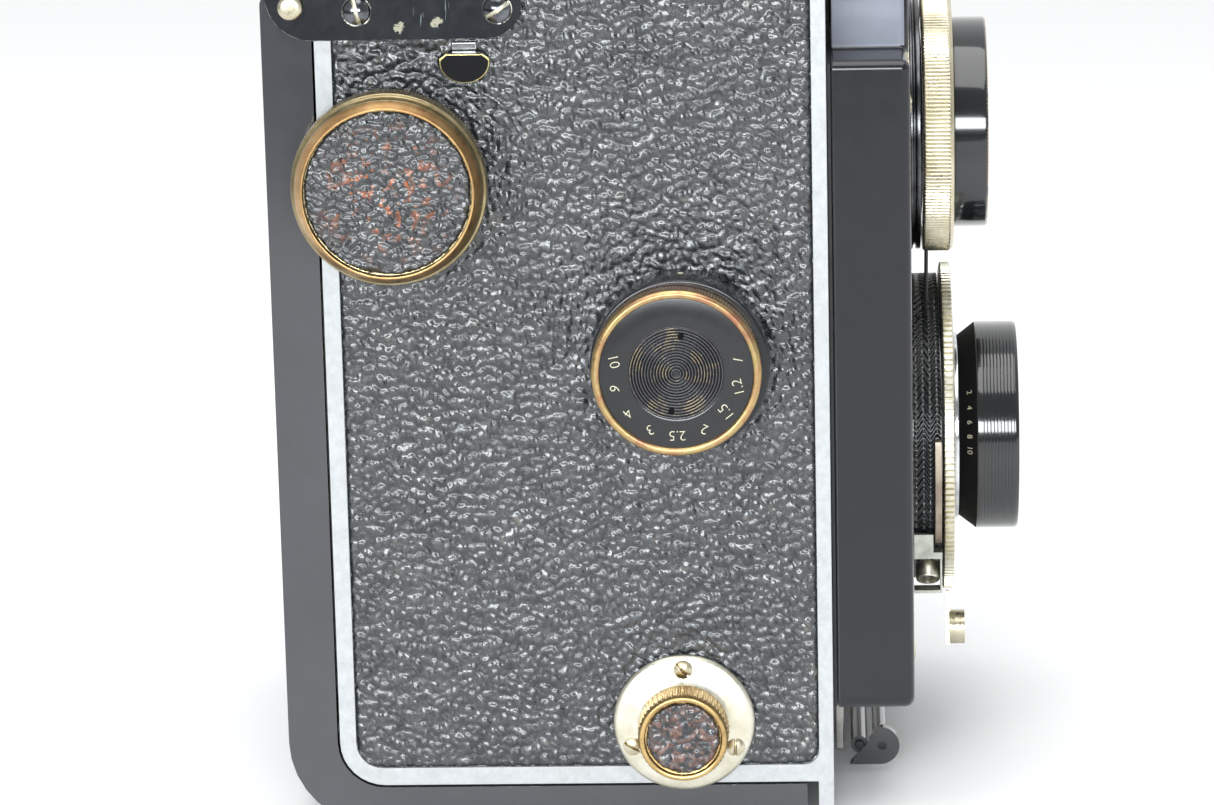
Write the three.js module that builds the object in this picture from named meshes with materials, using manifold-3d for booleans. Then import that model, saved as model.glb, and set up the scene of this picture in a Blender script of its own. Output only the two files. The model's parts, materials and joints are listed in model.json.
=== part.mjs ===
// Twin lens reflex camera for 120 roll film, pattern of about 1930.
// Millimetres, +Z up. The two lenses face -Y and the knobs are on the -X side.
// The origin is the centre of the flat base face.
import * as THREE from "three";
import { mergeVertices } from "three/addons/utils/BufferGeometryUtils.js";
import Module from "manifold-3d";

const wasm = await Module();
wasm.setup();

// ---- driving dimensions -------------------------------------------------
const GAP = 0.3; // clearance left where two pieces touch
const ROUND = 32; // sides of a large round piece
const SMALL_ROUND = 16; // sides of a screw, pin or lever end

const BODY = { half: 37.3, front: -36.25, rear: 29.4, bottom: 5.8, top: 115.6, corner: 6 };
const WALL_INNER = 34.8; // inner face of the side walls
const LEG = { rear: -34.2, bottom: 1 }; // front lip that the latch is fixed to

const LEATHER = { inner: 36.9, outer: 37.4, front: -34, rear: 26.9, bottom: 8.5, top: 113.9 };
const LEATHER_NOTCH = { front: 4.2, bottom: 108.7 }; // room for the hinge plate

const DOOR = { rear: 36.2, front: -32.7, wall: 1.2, back: 2, corner: 12, half: 37.3 };
const PIVOT = { y: 32.05, z: 111.45 }; // back door hinge
const HINGE_PIN = { radius: 1.4, inner: 33.4 };
const KNUCKLE = { rise: 2.4, bottom: 108 }; // solid bar along the door's top edge
const BUSH = { y: 9, radius: 7, bore: 4.7, height: 5 };
const RED_WINDOW = { x: 0, z: 34, radius: 4.2 };

const VIEW_Z = 87.2; // viewing lens axis
const TAKE_Z = 44.6; // taking lens axis
const TAKE_SLEEVE = { outer: 11.4, bore: 10 };
const VIEW_SLEEVE = { outer: 13.2, bore: 12 };
const SLEEVE_REAR = -27;
const GATE_HALF = 27.2; // half of the 54 mm film gate
const CHAMBER_FRONT = { y: -33, half: 12 };

const STANDARD = { rear: -36.9, front: -47.05, half: 36.8, bottom: 15.45, shoulder: 102.95, top: 114.6 };
const STANDARD_NECK = 28.3; // half width above the shoulder
const STANDARD_WALL = 1.6;
const STANDARD_EDGE = 1.2; // rounding of its front edge
const SLEEVE_ROOT = 2; // the sleeves start this far behind the front face

const WIND = { y: 19.75, z: 88.7, radius: 12.65, inlay: 10.8, foot: 41.5, face: 47.6 };
const FOCUS = { y: -16.6, z: 64.6, radius: 11.05, foot: 44.4, face: 47.5, shaft: 1.5 };
const FOCUS_DRUM = { radius: 11.6, bore: 3, foot: 37.7, face: 44.1 };
const SUPPLY = { y: -16.5, z: 14.5, radius: 6.15, foot: 40.3, face: 45.2 };
const SUPPLY_PLATE = { radius: 9.4, screws: 7.5, bore: 2.8 };
const SUPPLY_SLOTS = [-37, 3, -61]; // how far each screw slot is turned from upright
const SPOOL = { flange: 12.2, core: 5.4, bore: 2.7, half: 32.8, pocket: 13 };
const RACK = { inner: 31.5, outer: 33.3, bottom: 66.4, top: 69.4, front: -44.5, rear: -7 };
const LOWER_ROLLER = { y: 24.5, z: 10.9, radius: 3.2 };
const UPPER_ROLLER = { y: 26.6, z: 75.2, radius: 2.2 };
const ROLLER_HALF = 32;

const MIRROR_OFFSET = 91.7; // the mirror's face is the plane z = y + offset
const MIRROR_SEAT = 89.1; // its seat in the body is the plane z = y + seat
const MIRROR = { front: -22.5, rear: 22, half: 27, thickness: 1.5 };

const PLATE = { inner: 37.6, outer: 38.8, front: 2.5, rear: 35.4, bottom: 107, top: 118 };
const PLATE_SCREWS = [{ y: 5.6, z: 110.75 }, { y: 23.6, z: 110.75 }];
const PLATE_SLOTS = [57, -13]; // how far each screw slot is turned from upright
const COUNTER = { y: 14.7, z: 115, window: 1.9, dial: 2.7, inner: 37.75, outer: 38.05 };
const TAB = { y: 10, bottom: 101.2, top: 105.3, half: 3.2, rise: 2.7, strip: 106.5 };

const TOP = { bottom: 115.9, top: 118, half: 37.3, front: -36.2, rear: 34 };
const SCREEN = { half: 30, front: -30, rear: 29, bottom: 116.8, top: 118 };
const HOOD = { half: 34, front: -33.5, rear: 31.5, bottom: 118.3, top: 129.6, wall: 1.2 };
const LID = { front: -32, rear: 31.5, half: 34, bottom: 130, top: 132.2 };
const FLAP = 1; // thickness of a hood leaf
const SIDE_FLAP = { hinge: 31.6, z: 124, reach: 31, front: -27, rear: 27 };
const REAR_FLAP = { hinge: 29.3, z: 126.2, reach: 30, half: 30.4 };
const LOUPE = { y: 1.5, z: 129.2, centre: 17.5, outer: 10.3, bore: 8.6, thickness: 1.8 };

const VIEW_FLANGE = { radius: 17.2, bore: 11.9, rear: -47.35, front: -48.8 };
const CASE = { radius: 21, bore: 9.8, rear: -47.35, front: -51.15 };
const SPEED_RING = { radius: 22.5, root: 21.8, bore: 12.9, rear: -51.45, front: -52.95, teeth: 56 };
const LATCH = { y: -39.8, z: 3.77, cheek: 16, thickness: 1.4, tip: -42.6, rear: -38.5, radius: 2.67 };

// ---- materials ----------------------------------------------------------
function material(color, roughness, metalness) {
  return new THREE.MeshStandardMaterial({ color, roughness, metalness });
}
const leather = material(0x1d1f22, 0.55, 0);
const lacquer = material(0x141518, 0.25, 0.1);
const aluminium = material(0xb4b5b4, 0.5, 0.9);
const nickel = material(0xd8cfb8, 0.3, 1);
const brass = material(0xa8874a, 0.35, 1);
const steel = material(0x8d8d8a, 0.4, 1);
const glass = material(0x9fb4c8, 0.05, 0);
const silvered = material(0xdfe4e8, 0.02, 1);
const ruby = material(0x7c1016, 0.1, 0);
const enamel = material(0xe6e2d6, 0.5, 0);

// ---- geometry helpers ---------------------------------------------------
function solid(geometry) {
  const bare = geometry.clone();
  bare.deleteAttribute("normal");
  bare.deleteAttribute("uv");
  const merged = mergeVertices(bare, 1e-4);
  const vertProperties = Float32Array.from(merged.attributes.position.array);
  const index = merged.index.array;
  const kept = [];
  for (let i = 0; i < index.length; i += 3) {
    const [a, b, c] = [index[i], index[i + 1], index[i + 2]];
    if (a !== b && b !== c && c !== a) kept.push(a, b, c);
  }
  if (signedVolume(vertProperties, kept) < 0) kept.reverse();
  const mesh = new wasm.Mesh({ numProp: 3, vertProperties, triVerts: Uint32Array.from(kept) });
  return new wasm.Manifold(mesh);
}

function signedVolume(points, triangles) {
  const [a, b, c] = [new THREE.Vector3(), new THREE.Vector3(), new THREE.Vector3()];
  let total = 0;
  for (let i = 0; i < triangles.length; i += 3) {
    a.fromArray(points, 3 * triangles[i]);
    b.fromArray(points, 3 * triangles[i + 1]);
    c.fromArray(points, 3 * triangles[i + 2]);
    total += a.dot(b.cross(c));
  }
  return total;
}

function part(name, shape, look) {
  const { numProp, vertProperties, triVerts } = shape.getMesh();
  const positions = new Float32Array((vertProperties.length / numProp) * 3);
  for (let i = 0; i < positions.length / 3; i += 1) {
    positions.set(vertProperties.subarray(i * numProp, i * numProp + 3), i * 3);
  }
  const geometry = new THREE.BufferGeometry();
  geometry.setAttribute("position", new THREE.BufferAttribute(positions, 3));
  geometry.setIndex(new THREE.BufferAttribute(Uint32Array.from(triVerts), 1));
  geometry.computeVertexNormals();
  const mesh = new THREE.Mesh(geometry, look);
  mesh.name = name;
  return mesh;
}

function box(x0, x1, y0, y1, z0, z1) {
  const geometry = new THREE.BoxGeometry(x1 - x0, y1 - y0, z1 - z0);
  geometry.translate((x0 + x1) / 2, (y0 + y1) / 2, (z0 + z1) / 2);
  return solid(geometry);
}

// A cylinder lying along X through (y, z).
function cylinderX(y, z, radius, x0, x1, sides = ROUND) {
  const geometry = new THREE.CylinderGeometry(radius, radius, x1 - x0, sides);
  geometry.rotateZ(-Math.PI / 2);
  geometry.translate((x0 + x1) / 2, y, z);
  return solid(geometry);
}

// A cylinder lying along Y through (x, z).
function cylinderY(x, z, radius, y0, y1, sides = ROUND) {
  const geometry = new THREE.CylinderGeometry(radius, radius, y1 - y0, sides);
  geometry.translate(x, (y0 + y1) / 2, z);
  return solid(geometry);
}

// A turned piece about the Y axis at height z; profile points are [radius, y].
function turnedY(profile, z, sides = ROUND, x = 0) {
  const points = profile.map(([radius, y]) => new THREE.Vector2(radius, y));
  const geometry = new THREE.LatheGeometry(points, sides);
  geometry.translate(x, 0, z);
  return solid(geometry);
}

// A turned piece on the -X side through (y, z); profile points are [radius, distance out].
function turnedOut(profile, y, z, sides = ROUND) {
  const points = profile.map(([radius, out]) => new THREE.Vector2(radius, out));
  const geometry = new THREE.LatheGeometry(points, sides);
  geometry.rotateZ(Math.PI / 2);
  geometry.translate(0, y, z);
  return solid(geometry);
}

function tube(outer, bore, start, end) {
  return [[bore, start], [outer, start], [outer, end], [bore, end], [bore, start]];
}

// An outline in (y, z), extruded along X from x0 to x1.
function alongX(shape, x0, x1, curveSegments = 8) {
  const geometry = new THREE.ExtrudeGeometry(shape, { depth: x1 - x0, bevelEnabled: false, curveSegments });
  const [X, Y, Z] = [new THREE.Vector3(1, 0, 0), new THREE.Vector3(0, 1, 0), new THREE.Vector3(0, 0, 1)];
  geometry.applyMatrix4(new THREE.Matrix4().makeBasis(Y, Z, X));
  geometry.translate(x0, 0, 0);
  return solid(geometry);
}

// An outline in (x, z), extruded along Y from front to rear, its front edge rounded by bevel.
function alongY(shape, front, rear, bevel = 0) {
  const geometry = new THREE.ExtrudeGeometry(shape, {
    depth: rear - front,
    bevelEnabled: bevel > 0,
    bevelThickness: bevel,
    bevelSize: bevel,
    bevelOffset: -bevel,
    bevelSegments: 3,
    curveSegments: 8,
  });
  geometry.rotateX(Math.PI / 2);
  geometry.translate(0, rear + bevel, 0);
  const whole = solid(geometry);
  return bevel > 0 ? whole.subtract(box(-99, 99, rear, 99, -99, 199)) : whole;
}

// An outline in (x, y), extruded along Z from z0 to z1.
function alongZ(shape, z0, z1) {
  const depth = z1 - z0;
  const geometry = new THREE.ExtrudeGeometry(shape, { depth, bevelEnabled: false, curveSegments: 8 });
  geometry.translate(0, 0, z0);
  return solid(geometry);
}

// A closed outline through points [a, b, corner radius].
function rounded(points) {
  const shape = new THREE.Shape();
  const count = points.length;
  points.forEach(([a, b, radius = 0], i) => {
    const here = new THREE.Vector2(a, b);
    const before = new THREE.Vector2(...points[(i + count - 1) % count]);
    const after = new THREE.Vector2(...points[(i + 1) % count]);
    const inward = before.sub(here).normalize();
    const onward = after.sub(here).normalize();
    const setback = radius / Math.tan(Math.acos(inward.dot(onward)) / 2);
    const start = here.clone().addScaledVector(inward, setback);
    const end = here.clone().addScaledVector(onward, setback);
    if (i === 0) shape.moveTo(start.x, start.y);
    else shape.lineTo(start.x, start.y);
    if (radius > 0) {
      const centre = here.clone().add(inward.add(onward).normalize()
        .multiplyScalar(Math.hypot(radius, setback)));
      const from = Math.atan2(start.y - centre.y, start.x - centre.x);
      const to = Math.atan2(end.y - centre.y, end.x - centre.x);
      const turn = Math.atan2(Math.sin(to - from), Math.cos(to - from));
      shape.absarc(centre.x, centre.y, radius, from, to, turn < 0);
    }
  });
  return cleaned(shape);
}

// The same outline as plain points, without the doubled points where a line meets an arc.
function cleaned(shape) {
  const points = shape.getPoints(4);
  const kept = points.filter((point, i) => point.distanceTo(points[(i + 1) % points.length]) > 1e-4);
  return new THREE.Shape(kept);
}

function mirrored(shape) {
  return shape.mirror([1, 0, 0]);
}

// Turns a piece about an axis parallel to Y through (0, z) by degrees.
function turnedAboutLens(shape, z, degrees) {
  return shape.translate([0, 0, -z]).rotate([0, degrees, 0]).translate([0, 0, z]);
}

// ---- body ---------------------------------------------------------------
function leatherOutline(grow) {
  const [front, rear] = [LEATHER.front - grow, LEATHER.rear + grow];
  const [bottom, top] = [LEATHER.bottom - grow, LEATHER.top + grow];
  const notch = { front: LEATHER_NOTCH.front + grow, bottom: LEATHER_NOTCH.bottom + grow };
  return rounded([
    [front, bottom, 2], [rear, bottom, 3.5], [rear, notch.bottom],
    [notch.front, notch.bottom], [notch.front, top], [front, top],
  ]);
}

function spoolPocket(axis) {
  return cylinderX(axis.y, axis.z, SPOOL.pocket, -WALL_INNER, WALL_INNER, 28);
}

function takingChamber() {
  const [rear, front] = [BODY.rear + 1, CHAMBER_FRONT.y];
  const corner = Math.SQRT2;
  const pyramid = new THREE.CylinderGeometry(
    GATE_HALF * corner, CHAMBER_FRONT.half * corner, rear - front, 4,
  );
  pyramid.rotateY(Math.PI / 4);
  pyramid.translate(0, (rear + front) / 2, TAKE_Z);
  return solid(pyramid);
}

function viewingChamber() {
  const [front, rear, floor] = [-32.5, 26, 66];
  const outline = rounded([
    [front, BODY.top + 1], [front, floor], [floor - MIRROR_SEAT, floor],
    [rear, rear + MIRROR_SEAT], [rear, BODY.top + 1],
  ]);
  return alongX(outline, -30, 30);
}

function filmPockets() {
  const side = WALL_INNER;
  const supply = spoolPocket(SUPPLY)
    .add(box(-side, side, SUPPLY.y - SPOOL.pocket, SUPPLY.y + SPOOL.pocket, -1, SUPPLY.z));
  const takeup = spoolPocket(WIND)
    .add(box(-side, side, WIND.y, BODY.rear + 1, WIND.z - SPOOL.pocket, WIND.z + SPOOL.pocket));
  const channel = box(-33, 33, -4, 19, 0, 8.8);
  const lower = box(-side, side, 18, BODY.rear + 1, 0, 15.2);
  const reach = UPPER_ROLLER.radius + 0.5;
  const { y, z } = UPPER_ROLLER;
  const upper = cylinderX(y, z, reach, -side, side, SMALL_ROUND)
    .add(box(-side, side, y, BODY.rear + 1, z - reach, z + reach));
  return supply.add(takeup).add(channel).add(lower).add(upper);
}

function bodyShell() {
  const { half, front, rear, bottom, top, corner } = BODY;
  const outline = rounded([[front, bottom], [rear, bottom, corner], [rear, top], [front, top]]);
  let shell = alongX(outline, -half, half)
    .add(box(-half, half, front, LEG.rear, LEG.bottom, bottom + 1));
  const recess = alongX(leatherOutline(GAP), -half - 1, -LEATHER.inner + GAP);
  shell = shell.subtract(recess).subtract(mirrored(recess));
  shell = shell.subtract(takingChamber()).subtract(viewingChamber()).subtract(filmPockets());
  shell = shell.subtract(cylinderY(0, TAKE_Z, 12, front - 1, CHAMBER_FRONT.y + 1));
  shell = shell.subtract(cylinderY(0, VIEW_Z, 13.9, front - 1, -31));
  const slot = box(RACK.inner - 0.5, RACK.outer + 0.5, front - 1, RACK.rear + 1, RACK.bottom - GAP,
    RACK.top + 0.6);
  shell = shell.subtract(slot).subtract(mirrored(slot));
  shell = shell.subtract(cylinderX(FOCUS.y, FOCUS.z, 2, -40, WALL_INNER, SMALL_ROUND));
  shell = shell.subtract(cylinderX(WIND.y, WIND.z, 3.6, -40, -30, SMALL_ROUND));
  shell = shell.subtract(cylinderX(SUPPLY.y, SUPPLY.z, 2.9, -40, -30, SMALL_ROUND));
  for (const axis of [WIND, SUPPLY]) {
    shell = shell.add(cylinderX(axis.y, axis.z, 2.1, 31.2, WALL_INNER + 0.5, SMALL_ROUND));
  }
  return shell;
}

function sideLeather() {
  return alongX(leatherOutline(0), -LEATHER.outer, -LEATHER.inner);
}

function rightLeather() {
  return sideLeather()
    .subtract(cylinderX(SUPPLY.y, SUPPLY.z, SUPPLY_PLATE.radius + GAP, -40, -30))
    .subtract(cylinderX(WIND.y, WIND.z, 4, -40, -30, SMALL_ROUND))
    .subtract(cylinderX(FOCUS.y, FOCUS.z, 2.5, -40, -30, SMALL_ROUND));
}

function spool() {
  const { flange, core, bore, half } = SPOOL;
  const rim = half - 1;
  const profile = [
    [bore, -half], [flange, -half], [flange, -rim], [core, -rim],
    [core, rim], [flange, rim], [flange, half], [bore, half], [bore, -half],
  ];
  return turnedOut(profile, 0, 0, 24);
}

function mirrorGlass() {
  const { front, rear, half, thickness } = MIRROR;
  const drop = thickness * Math.SQRT2;
  return alongX(rounded([
    [front, front + MIRROR_OFFSET - drop], [rear, rear + MIRROR_OFFSET - drop],
    [rear, rear + MIRROR_OFFSET], [front, front + MIRROR_OFFSET],
  ]), -half, half);
}

function bodyParts() {
  const spoolBody = spool();
  return [
    part("body_shell", bodyShell(), aluminium),
    part("leather_right", rightLeather(), leather),
    part("leather_left", mirrored(sideLeather()), leather),
    part("mirror", mirrorGlass(), silvered),
    part("supply_spool", spoolBody.translate([0, SUPPLY.y, SUPPLY.z]), lacquer),
    part("takeup_spool", spoolBody.translate([0, WIND.y, WIND.z]), lacquer),
    ...[["lower", LOWER_ROLLER], ["upper", UPPER_ROLLER]].map(([name, { y, z, radius }]) => part(
      `film_roller_${name}`, cylinderX(y, z, radius, -ROLLER_HALF, ROLLER_HALF, SMALL_ROUND), nickel,
    )),
  ];
}

// ---- hinge plates, counter and release tab ------------------------------
function hingePlate() {
  const { inner, outer, front, rear, bottom, top } = PLATE;
  return alongX(rounded([
    [front, bottom, 4.5], [rear, bottom, 6], [rear, top, 2], [front, top, 2],
  ]), -outer, -inner);
}

function slottedScrew(radius, out, height) {
  const base = out + 0.001;
  const profile = [
    [0, base], [radius, base], [radius, base + height * 0.4],
    [radius * 0.7, base + height * 0.85], [0, base + height],
  ];
  const slot = box(-out - height - 1, -base - height * 0.45, -0.25, 0.25, -radius - 1, radius + 1);
  return turnedOut(profile, 0, 0, SMALL_ROUND).subtract(slot);
}

function hingeRivet() {
  const { y, z } = PIVOT;
  const base = PLATE.outer + GAP;
  const pin = cylinderX(y, z, HINGE_PIN.radius, -base - 0.5, -HINGE_PIN.inner, SMALL_ROUND);
  const head = [[0, base], [1.65, base], [1.35, base + 0.7], [0, base + 0.9]];
  return pin.add(turnedOut(head, y, z, SMALL_ROUND));
}

function hingeParts() {
  const bore = cylinderX(PIVOT.y, PIVOT.z, 1.7, -40, -30, SMALL_ROUND);
  const { window, dial, inner, outer } = COUNTER;
  const opening = cylinderX(COUNTER.y, COUNTER.z, window, -40, -30, SMALL_ROUND)
    .add(cylinderX(COUNTER.y, COUNTER.z, dial + GAP, -outer - 0.25, -PLATE.inner + 1, 28));
  const plate = hingePlate();
  const [head, screwRadius] = [-PLATE.outer - 0.8, 1.7];
  let left = plate.add(cylinderX(PIVOT.y, PIVOT.z, HINGE_PIN.radius, head, -HINGE_PIN.inner, SMALL_ROUND));
  const parts = [part("hinge_plate_right", plate.subtract(bore).subtract(opening), lacquer)];
  PLATE_SCREWS.forEach(({ y, z }, i) => {
    const screw = slottedScrew(screwRadius, PLATE.outer + GAP, 0.9)
      .rotate([PLATE_SLOTS[i], 0, 0])
      .translate([0, y, z]);
    parts.push(part(`plate_screw_${i}`, screw, nickel));
    left = left.add(cylinderX(y, z, screwRadius, head, -PLATE.inner - 0.2, SMALL_ROUND));
  });
  parts.push(part("hinge_plate_left", mirrored(left), lacquer));
  parts.push(part("hinge_rivet_right", hingeRivet(), nickel));
  parts.push(part("counter_dial", cylinderX(COUNTER.y, COUNTER.z, dial, -outer, -inner, 28), enamel));
  parts.push(part("release_tab", releaseTab(), lacquer));
  return parts;
}

function releaseTab() {
  const { y, half, bottom, top, rise, strip } = TAB;
  const outline = new THREE.Shape();
  outline.moveTo(y - half, top);
  outline.absellipse(y, bottom + rise, half, rise, Math.PI, 2 * Math.PI, false);
  outline.lineTo(y + half, top);
  outline.closePath();
  return alongX(outline, -38.8, -37.8).add(box(-38.6, -38, y - 1.6, y + 1.6, top - 0.5, strip));
}

// ---- knobs --------------------------------------------------------------
function windKnob() {
  const { y, z, radius, inlay, foot, face } = WIND;
  const profile = [
    [0, 30.8], [2, 30.8], [2, 33.5], [3, 33.6], [3, foot], [radius - 0.3, foot], [radius, foot + 0.3],
    [radius, foot + 3], [radius - 0.3, foot + 3.4], [inlay + 0.4, face - 0.1], [inlay + 0.2, face],
    [inlay, face], [inlay, face - 0.5], [0, face - 0.5],
  ];
  return turnedOut(profile, y, z, 40);
}

function focusKnob() {
  const { y, z, radius, foot, face } = FOCUS;
  const profile = [
    [0, 38.2], [2.2, 38.2], [2.2, foot], [radius - 0.3, foot], [radius, foot + 0.3],
    [radius, face - 0.6], [radius - 0.4, face], [radius - 1.2, face], [radius - 1.2, face - 0.5],
    [0, face - 0.5],
  ];
  return turnedOut(profile, y, z, 40);
}

function supplyShaft() {
  const { y, z, foot, face } = SUPPLY;
  const profile = [
    [0, 30.8], [1.9, 30.8], [1.9, 33.4], [2.4, 33.6], [2.4, foot - GAP], [1.5, foot - GAP],
    [1.5, face - 1.6], [0, face - 1.6],
  ];
  return turnedOut(profile, y, z, 24);
}

function supplyKnob() {
  const { y, z, radius, foot, face } = SUPPLY;
  const profile = [
    [1.8, foot], [radius, foot], [radius, face - 0.6], [radius - 0.6, face], [radius - 1.1, face],
    [radius - 1.1, face - 0.4], [0, face - 0.4], [0, face - 1.3], [1.8, face - 1.3], [1.8, foot],
  ];
  return turnedOut(profile, y, z, 28);
}

function supplyPlate() {
  const { radius, bore } = SUPPLY_PLATE;
  const profile = [
    [bore, 37.7], [radius, 37.7], [radius, 38.1], [radius - 0.4, 38.5], [6.1, 38.8], [4.9, 39.9],
    [bore, 39.9], [bore, 37.7],
  ];
  return turnedOut(profile, SUPPLY.y, SUPPLY.z);
}

function knobParts() {
  const { y, z, shaft } = FOCUS;
  const drum = tube(FOCUS_DRUM.radius, FOCUS_DRUM.bore, FOCUS_DRUM.foot, FOCUS_DRUM.face);
  const parts = [
    part("wind_bush", turnedOut(tube(6, 3.4, 37.7, 38.7), WIND.y, WIND.z, 28), nickel),
    part("wind_knob", windKnob(), brass),
    part("focus_base_ring", turnedOut(drum, y - 0.4, z, 40), lacquer),
    part("focus_knob", focusKnob(), brass),
    part("focus_shaft", cylinderX(y, z, shaft, -37.9, 34.4, SMALL_ROUND), steel),
    part("supply_plate", supplyPlate(), nickel),
    part("supply_shaft", supplyShaft(), steel),
    part("supply_knob", supplyKnob(), brass),
  ];
  [90, 206, 336].forEach((degrees, i) => {
    const angle = THREE.MathUtils.degToRad(degrees);
    const reach = SUPPLY_PLATE.screws;
    const at = [0, SUPPLY.y + reach * Math.cos(angle), SUPPLY.z + reach * Math.sin(angle)];
    const screw = slottedScrew(1.3, 38.8, 0.7).rotate([SUPPLY_SLOTS[i], 0, 0]).translate(at);
    parts.push(part(`supply_screw_${i}`, screw, nickel));
  });
  const rack = box(RACK.inner, RACK.outer, RACK.front, RACK.rear, RACK.bottom, RACK.top);
  parts.push(part("focus_rack_left", rack, steel));
  parts.push(part("focus_rack_right", mirrored(rack), steel));
  return parts;
}

// ---- front standard and lenses ------------------------------------------
function standardOutline(inset) {
  const [half, neck] = [STANDARD.half - inset, STANDARD_NECK - inset];
  const bottom = STANDARD.bottom + inset;
  const [shoulder, top] = [STANDARD.shoulder - inset, STANDARD.top - inset];
  return rounded([
    [-half, bottom, 2], [half, bottom, 2], [half, shoulder, 1.25], [neck, shoulder, 0.6],
    [neck, top, 8], [-neck, top, 8], [-neck, shoulder, 0.6], [-half, shoulder, 1.25],
  ]);
}

function frontStandard() {
  const { rear, front } = STANDARD;
  const plate = front + SLEEVE_ROOT;
  const sleeve = (z, { outer }) => cylinderY(0, z, outer, plate - 0.5, SLEEVE_REAR);
  const bore = (z, { bore: radius }) => cylinderY(0, z, radius, front - 1, SLEEVE_REAR + 1);
  return alongY(standardOutline(0), front, rear, STANDARD_EDGE)
    .subtract(alongY(standardOutline(STANDARD_WALL), plate, rear + 1))
    .add(sleeve(TAKE_Z, TAKE_SLEEVE)).add(sleeve(VIEW_Z, VIEW_SLEEVE))
    .subtract(bore(TAKE_Z, TAKE_SLEEVE)).subtract(bore(VIEW_Z, VIEW_SLEEVE));
}

function speedRing() {
  const { radius, root, bore, rear, front, teeth } = SPEED_RING;
  const outline = new THREE.Shape();
  for (let i = 0; i < teeth; i += 1) {
    [[root, 0.1], [radius, 0.35], [radius, 0.75], [root, 1]].forEach(([r, share], k) => {
      const angle = (2 * Math.PI * (i + share)) / teeth;
      const move = i === 0 && k === 0 ? "moveTo" : "lineTo";
      outline[move](r * Math.cos(angle), r * Math.sin(angle));
    });
  }
  outline.closePath();
  return alongY(outline, front, rear).subtract(cylinderY(0, 0, bore, front - 1, rear + 1))
    .translate([0, 0, TAKE_Z]);
}

// A lever in the plane of the shutter, pointing down, between two radii of the lens axis.
function shutterLever(inner, outer, width, rear, front) {
  return box(-width / 2, width / 2, front, rear, TAKE_Z - outer, TAKE_Z - inner);
}

function cableBracket() {
  return box(-20, -19.1, -50, -47.4, 32, 34.7)
    .add(box(-20, -17.3, -51.2, -47.4, 31.3, 32.2))
    .add(box(-20, -17.5, -51.15, -50.9, 26.6, 31.5))
    .add(box(-20, -17.5, -51.15, -47.4, 26.5, 26.9));
}

// The socket for the cable release stands in the bracket, its mouth turned down and outward.
function cableSocket() {
  const [outer, bore, length, y] = [1.6, 1.25, 2.2, -49.25];
  return cylinderX(y, 0, outer, 0, length, SMALL_ROUND)
    .subtract(cylinderX(y, 0, bore, -1, length - 0.5, SMALL_ROUND))
    .rotate([0, -50, 0])
    .translate([-19.3, 0, 28.2]);
}

function apertureScale() {
  const half = 7.6;
  const window = box(-half, half, CASE.front - 5, CASE.rear, TAKE_Z - 30, TAKE_Z);
  return turnedY(tube(22.2, CASE.radius + GAP, -51.2, -50.2), TAKE_Z)
    .intersect(turnedAboutLens(window, TAKE_Z, 79));
}

function shutterParts() {
  const { radius, bore, rear, front } = CASE;
  const clear = radius + GAP;
  const releaseLever = shutterLever(22.9, 30.3, 1.8, -51.9, -52.5)
    .add(cylinderY(0, TAKE_Z - 27.9, 2.35, -54.5, -52.4, SMALL_ROUND));
  const placed = (shape, degrees) => turnedAboutLens(shape, TAKE_Z, degrees);
  return [
    part("shutter_case", turnedY(tube(radius, bore, rear, front), TAKE_Z, 36), lacquer),
    part("speed_ring", speedRing(), nickel),
    part("cocking_lever", placed(shutterLever(clear, 33, 0.9, -49.1, -49.6), 150), lacquer),
    part("aperture_lever", placed(shutterLever(clear, 27, 2, -48.6, -49.7), -58), nickel),
    part("aperture_scale", apertureScale(), brass),
    part("release_lever", placed(releaseLever, 12), nickel),
    part("cable_bracket", cableBracket(), steel),
    part("cable_socket", cableSocket(), brass),
  ];
}

function takingBarrel() {
  return turnedY([
    [9.8, -51.5], [12.4, -51.5], [12.4, -53.9], [14.25, -56.3], [14.25, -61.65], [14.05, -61.85],
    [13, -61.85], [12.6, -56.8], [9.8, -56.8], [9.8, -51.5],
  ], TAKE_Z, 40);
}

function viewingRing() {
  return turnedY([
    [14.5, -49.1], [17.2, -49.1], [17.5, -49.4], [17.5, -52.6], [17, -53.2], [14.5, -53.2], [14.5, -49.1],
  ], VIEW_Z, 40);
}

function viewingTube() {
  return turnedY([
    [11.6, -49.1], [14.2, -49.1], [14.2, -57.55], [13.9, -57.8], [12.9, -57.8], [11.6, -55.8],
    [11.6, -49.1],
  ], VIEW_Z, 40);
}

function lensGlass(radius, rear, front, bulge, z) {
  return turnedY([
    [0, rear], [radius, rear], [radius, front], [radius * 0.75, front - bulge * 0.45],
    [radius * 0.4, front - bulge * 0.84], [0, front - bulge],
  ], z, 32);
}

function viewingFlange() {
  const { radius, bore, rear, front } = VIEW_FLANGE;
  return turnedY(tube(radius, bore, front, rear), VIEW_Z, 36);
}

function lensParts() {
  return [
    part("front_standard", frontStandard(), lacquer),
    part("viewing_flange", viewingFlange(), lacquer),
    part("viewing_ring", viewingRing(), nickel),
    part("viewing_tube", viewingTube(), lacquer),
    part("viewing_glass", lensGlass(11.3, -51, -53, 2.2, VIEW_Z), glass),
    part("taking_barrel", takingBarrel(), lacquer),
    part("taking_glass", lensGlass(9.5, -53, -55, 1.8, TAKE_Z), glass),
    ...shutterParts(),
  ];
}

// ---- finder hood --------------------------------------------------------
function topFrame() {
  const { bottom, top, half, front, rear } = TOP;
  const outline = rounded([[-half, front, 3], [half, front, 3], [half, rear, 3], [-half, rear, 3]]);
  const seat = box(-SCREEN.half - GAP, SCREEN.half + GAP, SCREEN.front - GAP, SCREEN.rear + GAP,
    SCREEN.bottom - GAP, top + 1);
  return alongZ(outline, bottom, top)
    .subtract(seat)
    .subtract(box(-28, 28, -28, 26, bottom - 1, top + 1));
}

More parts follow.
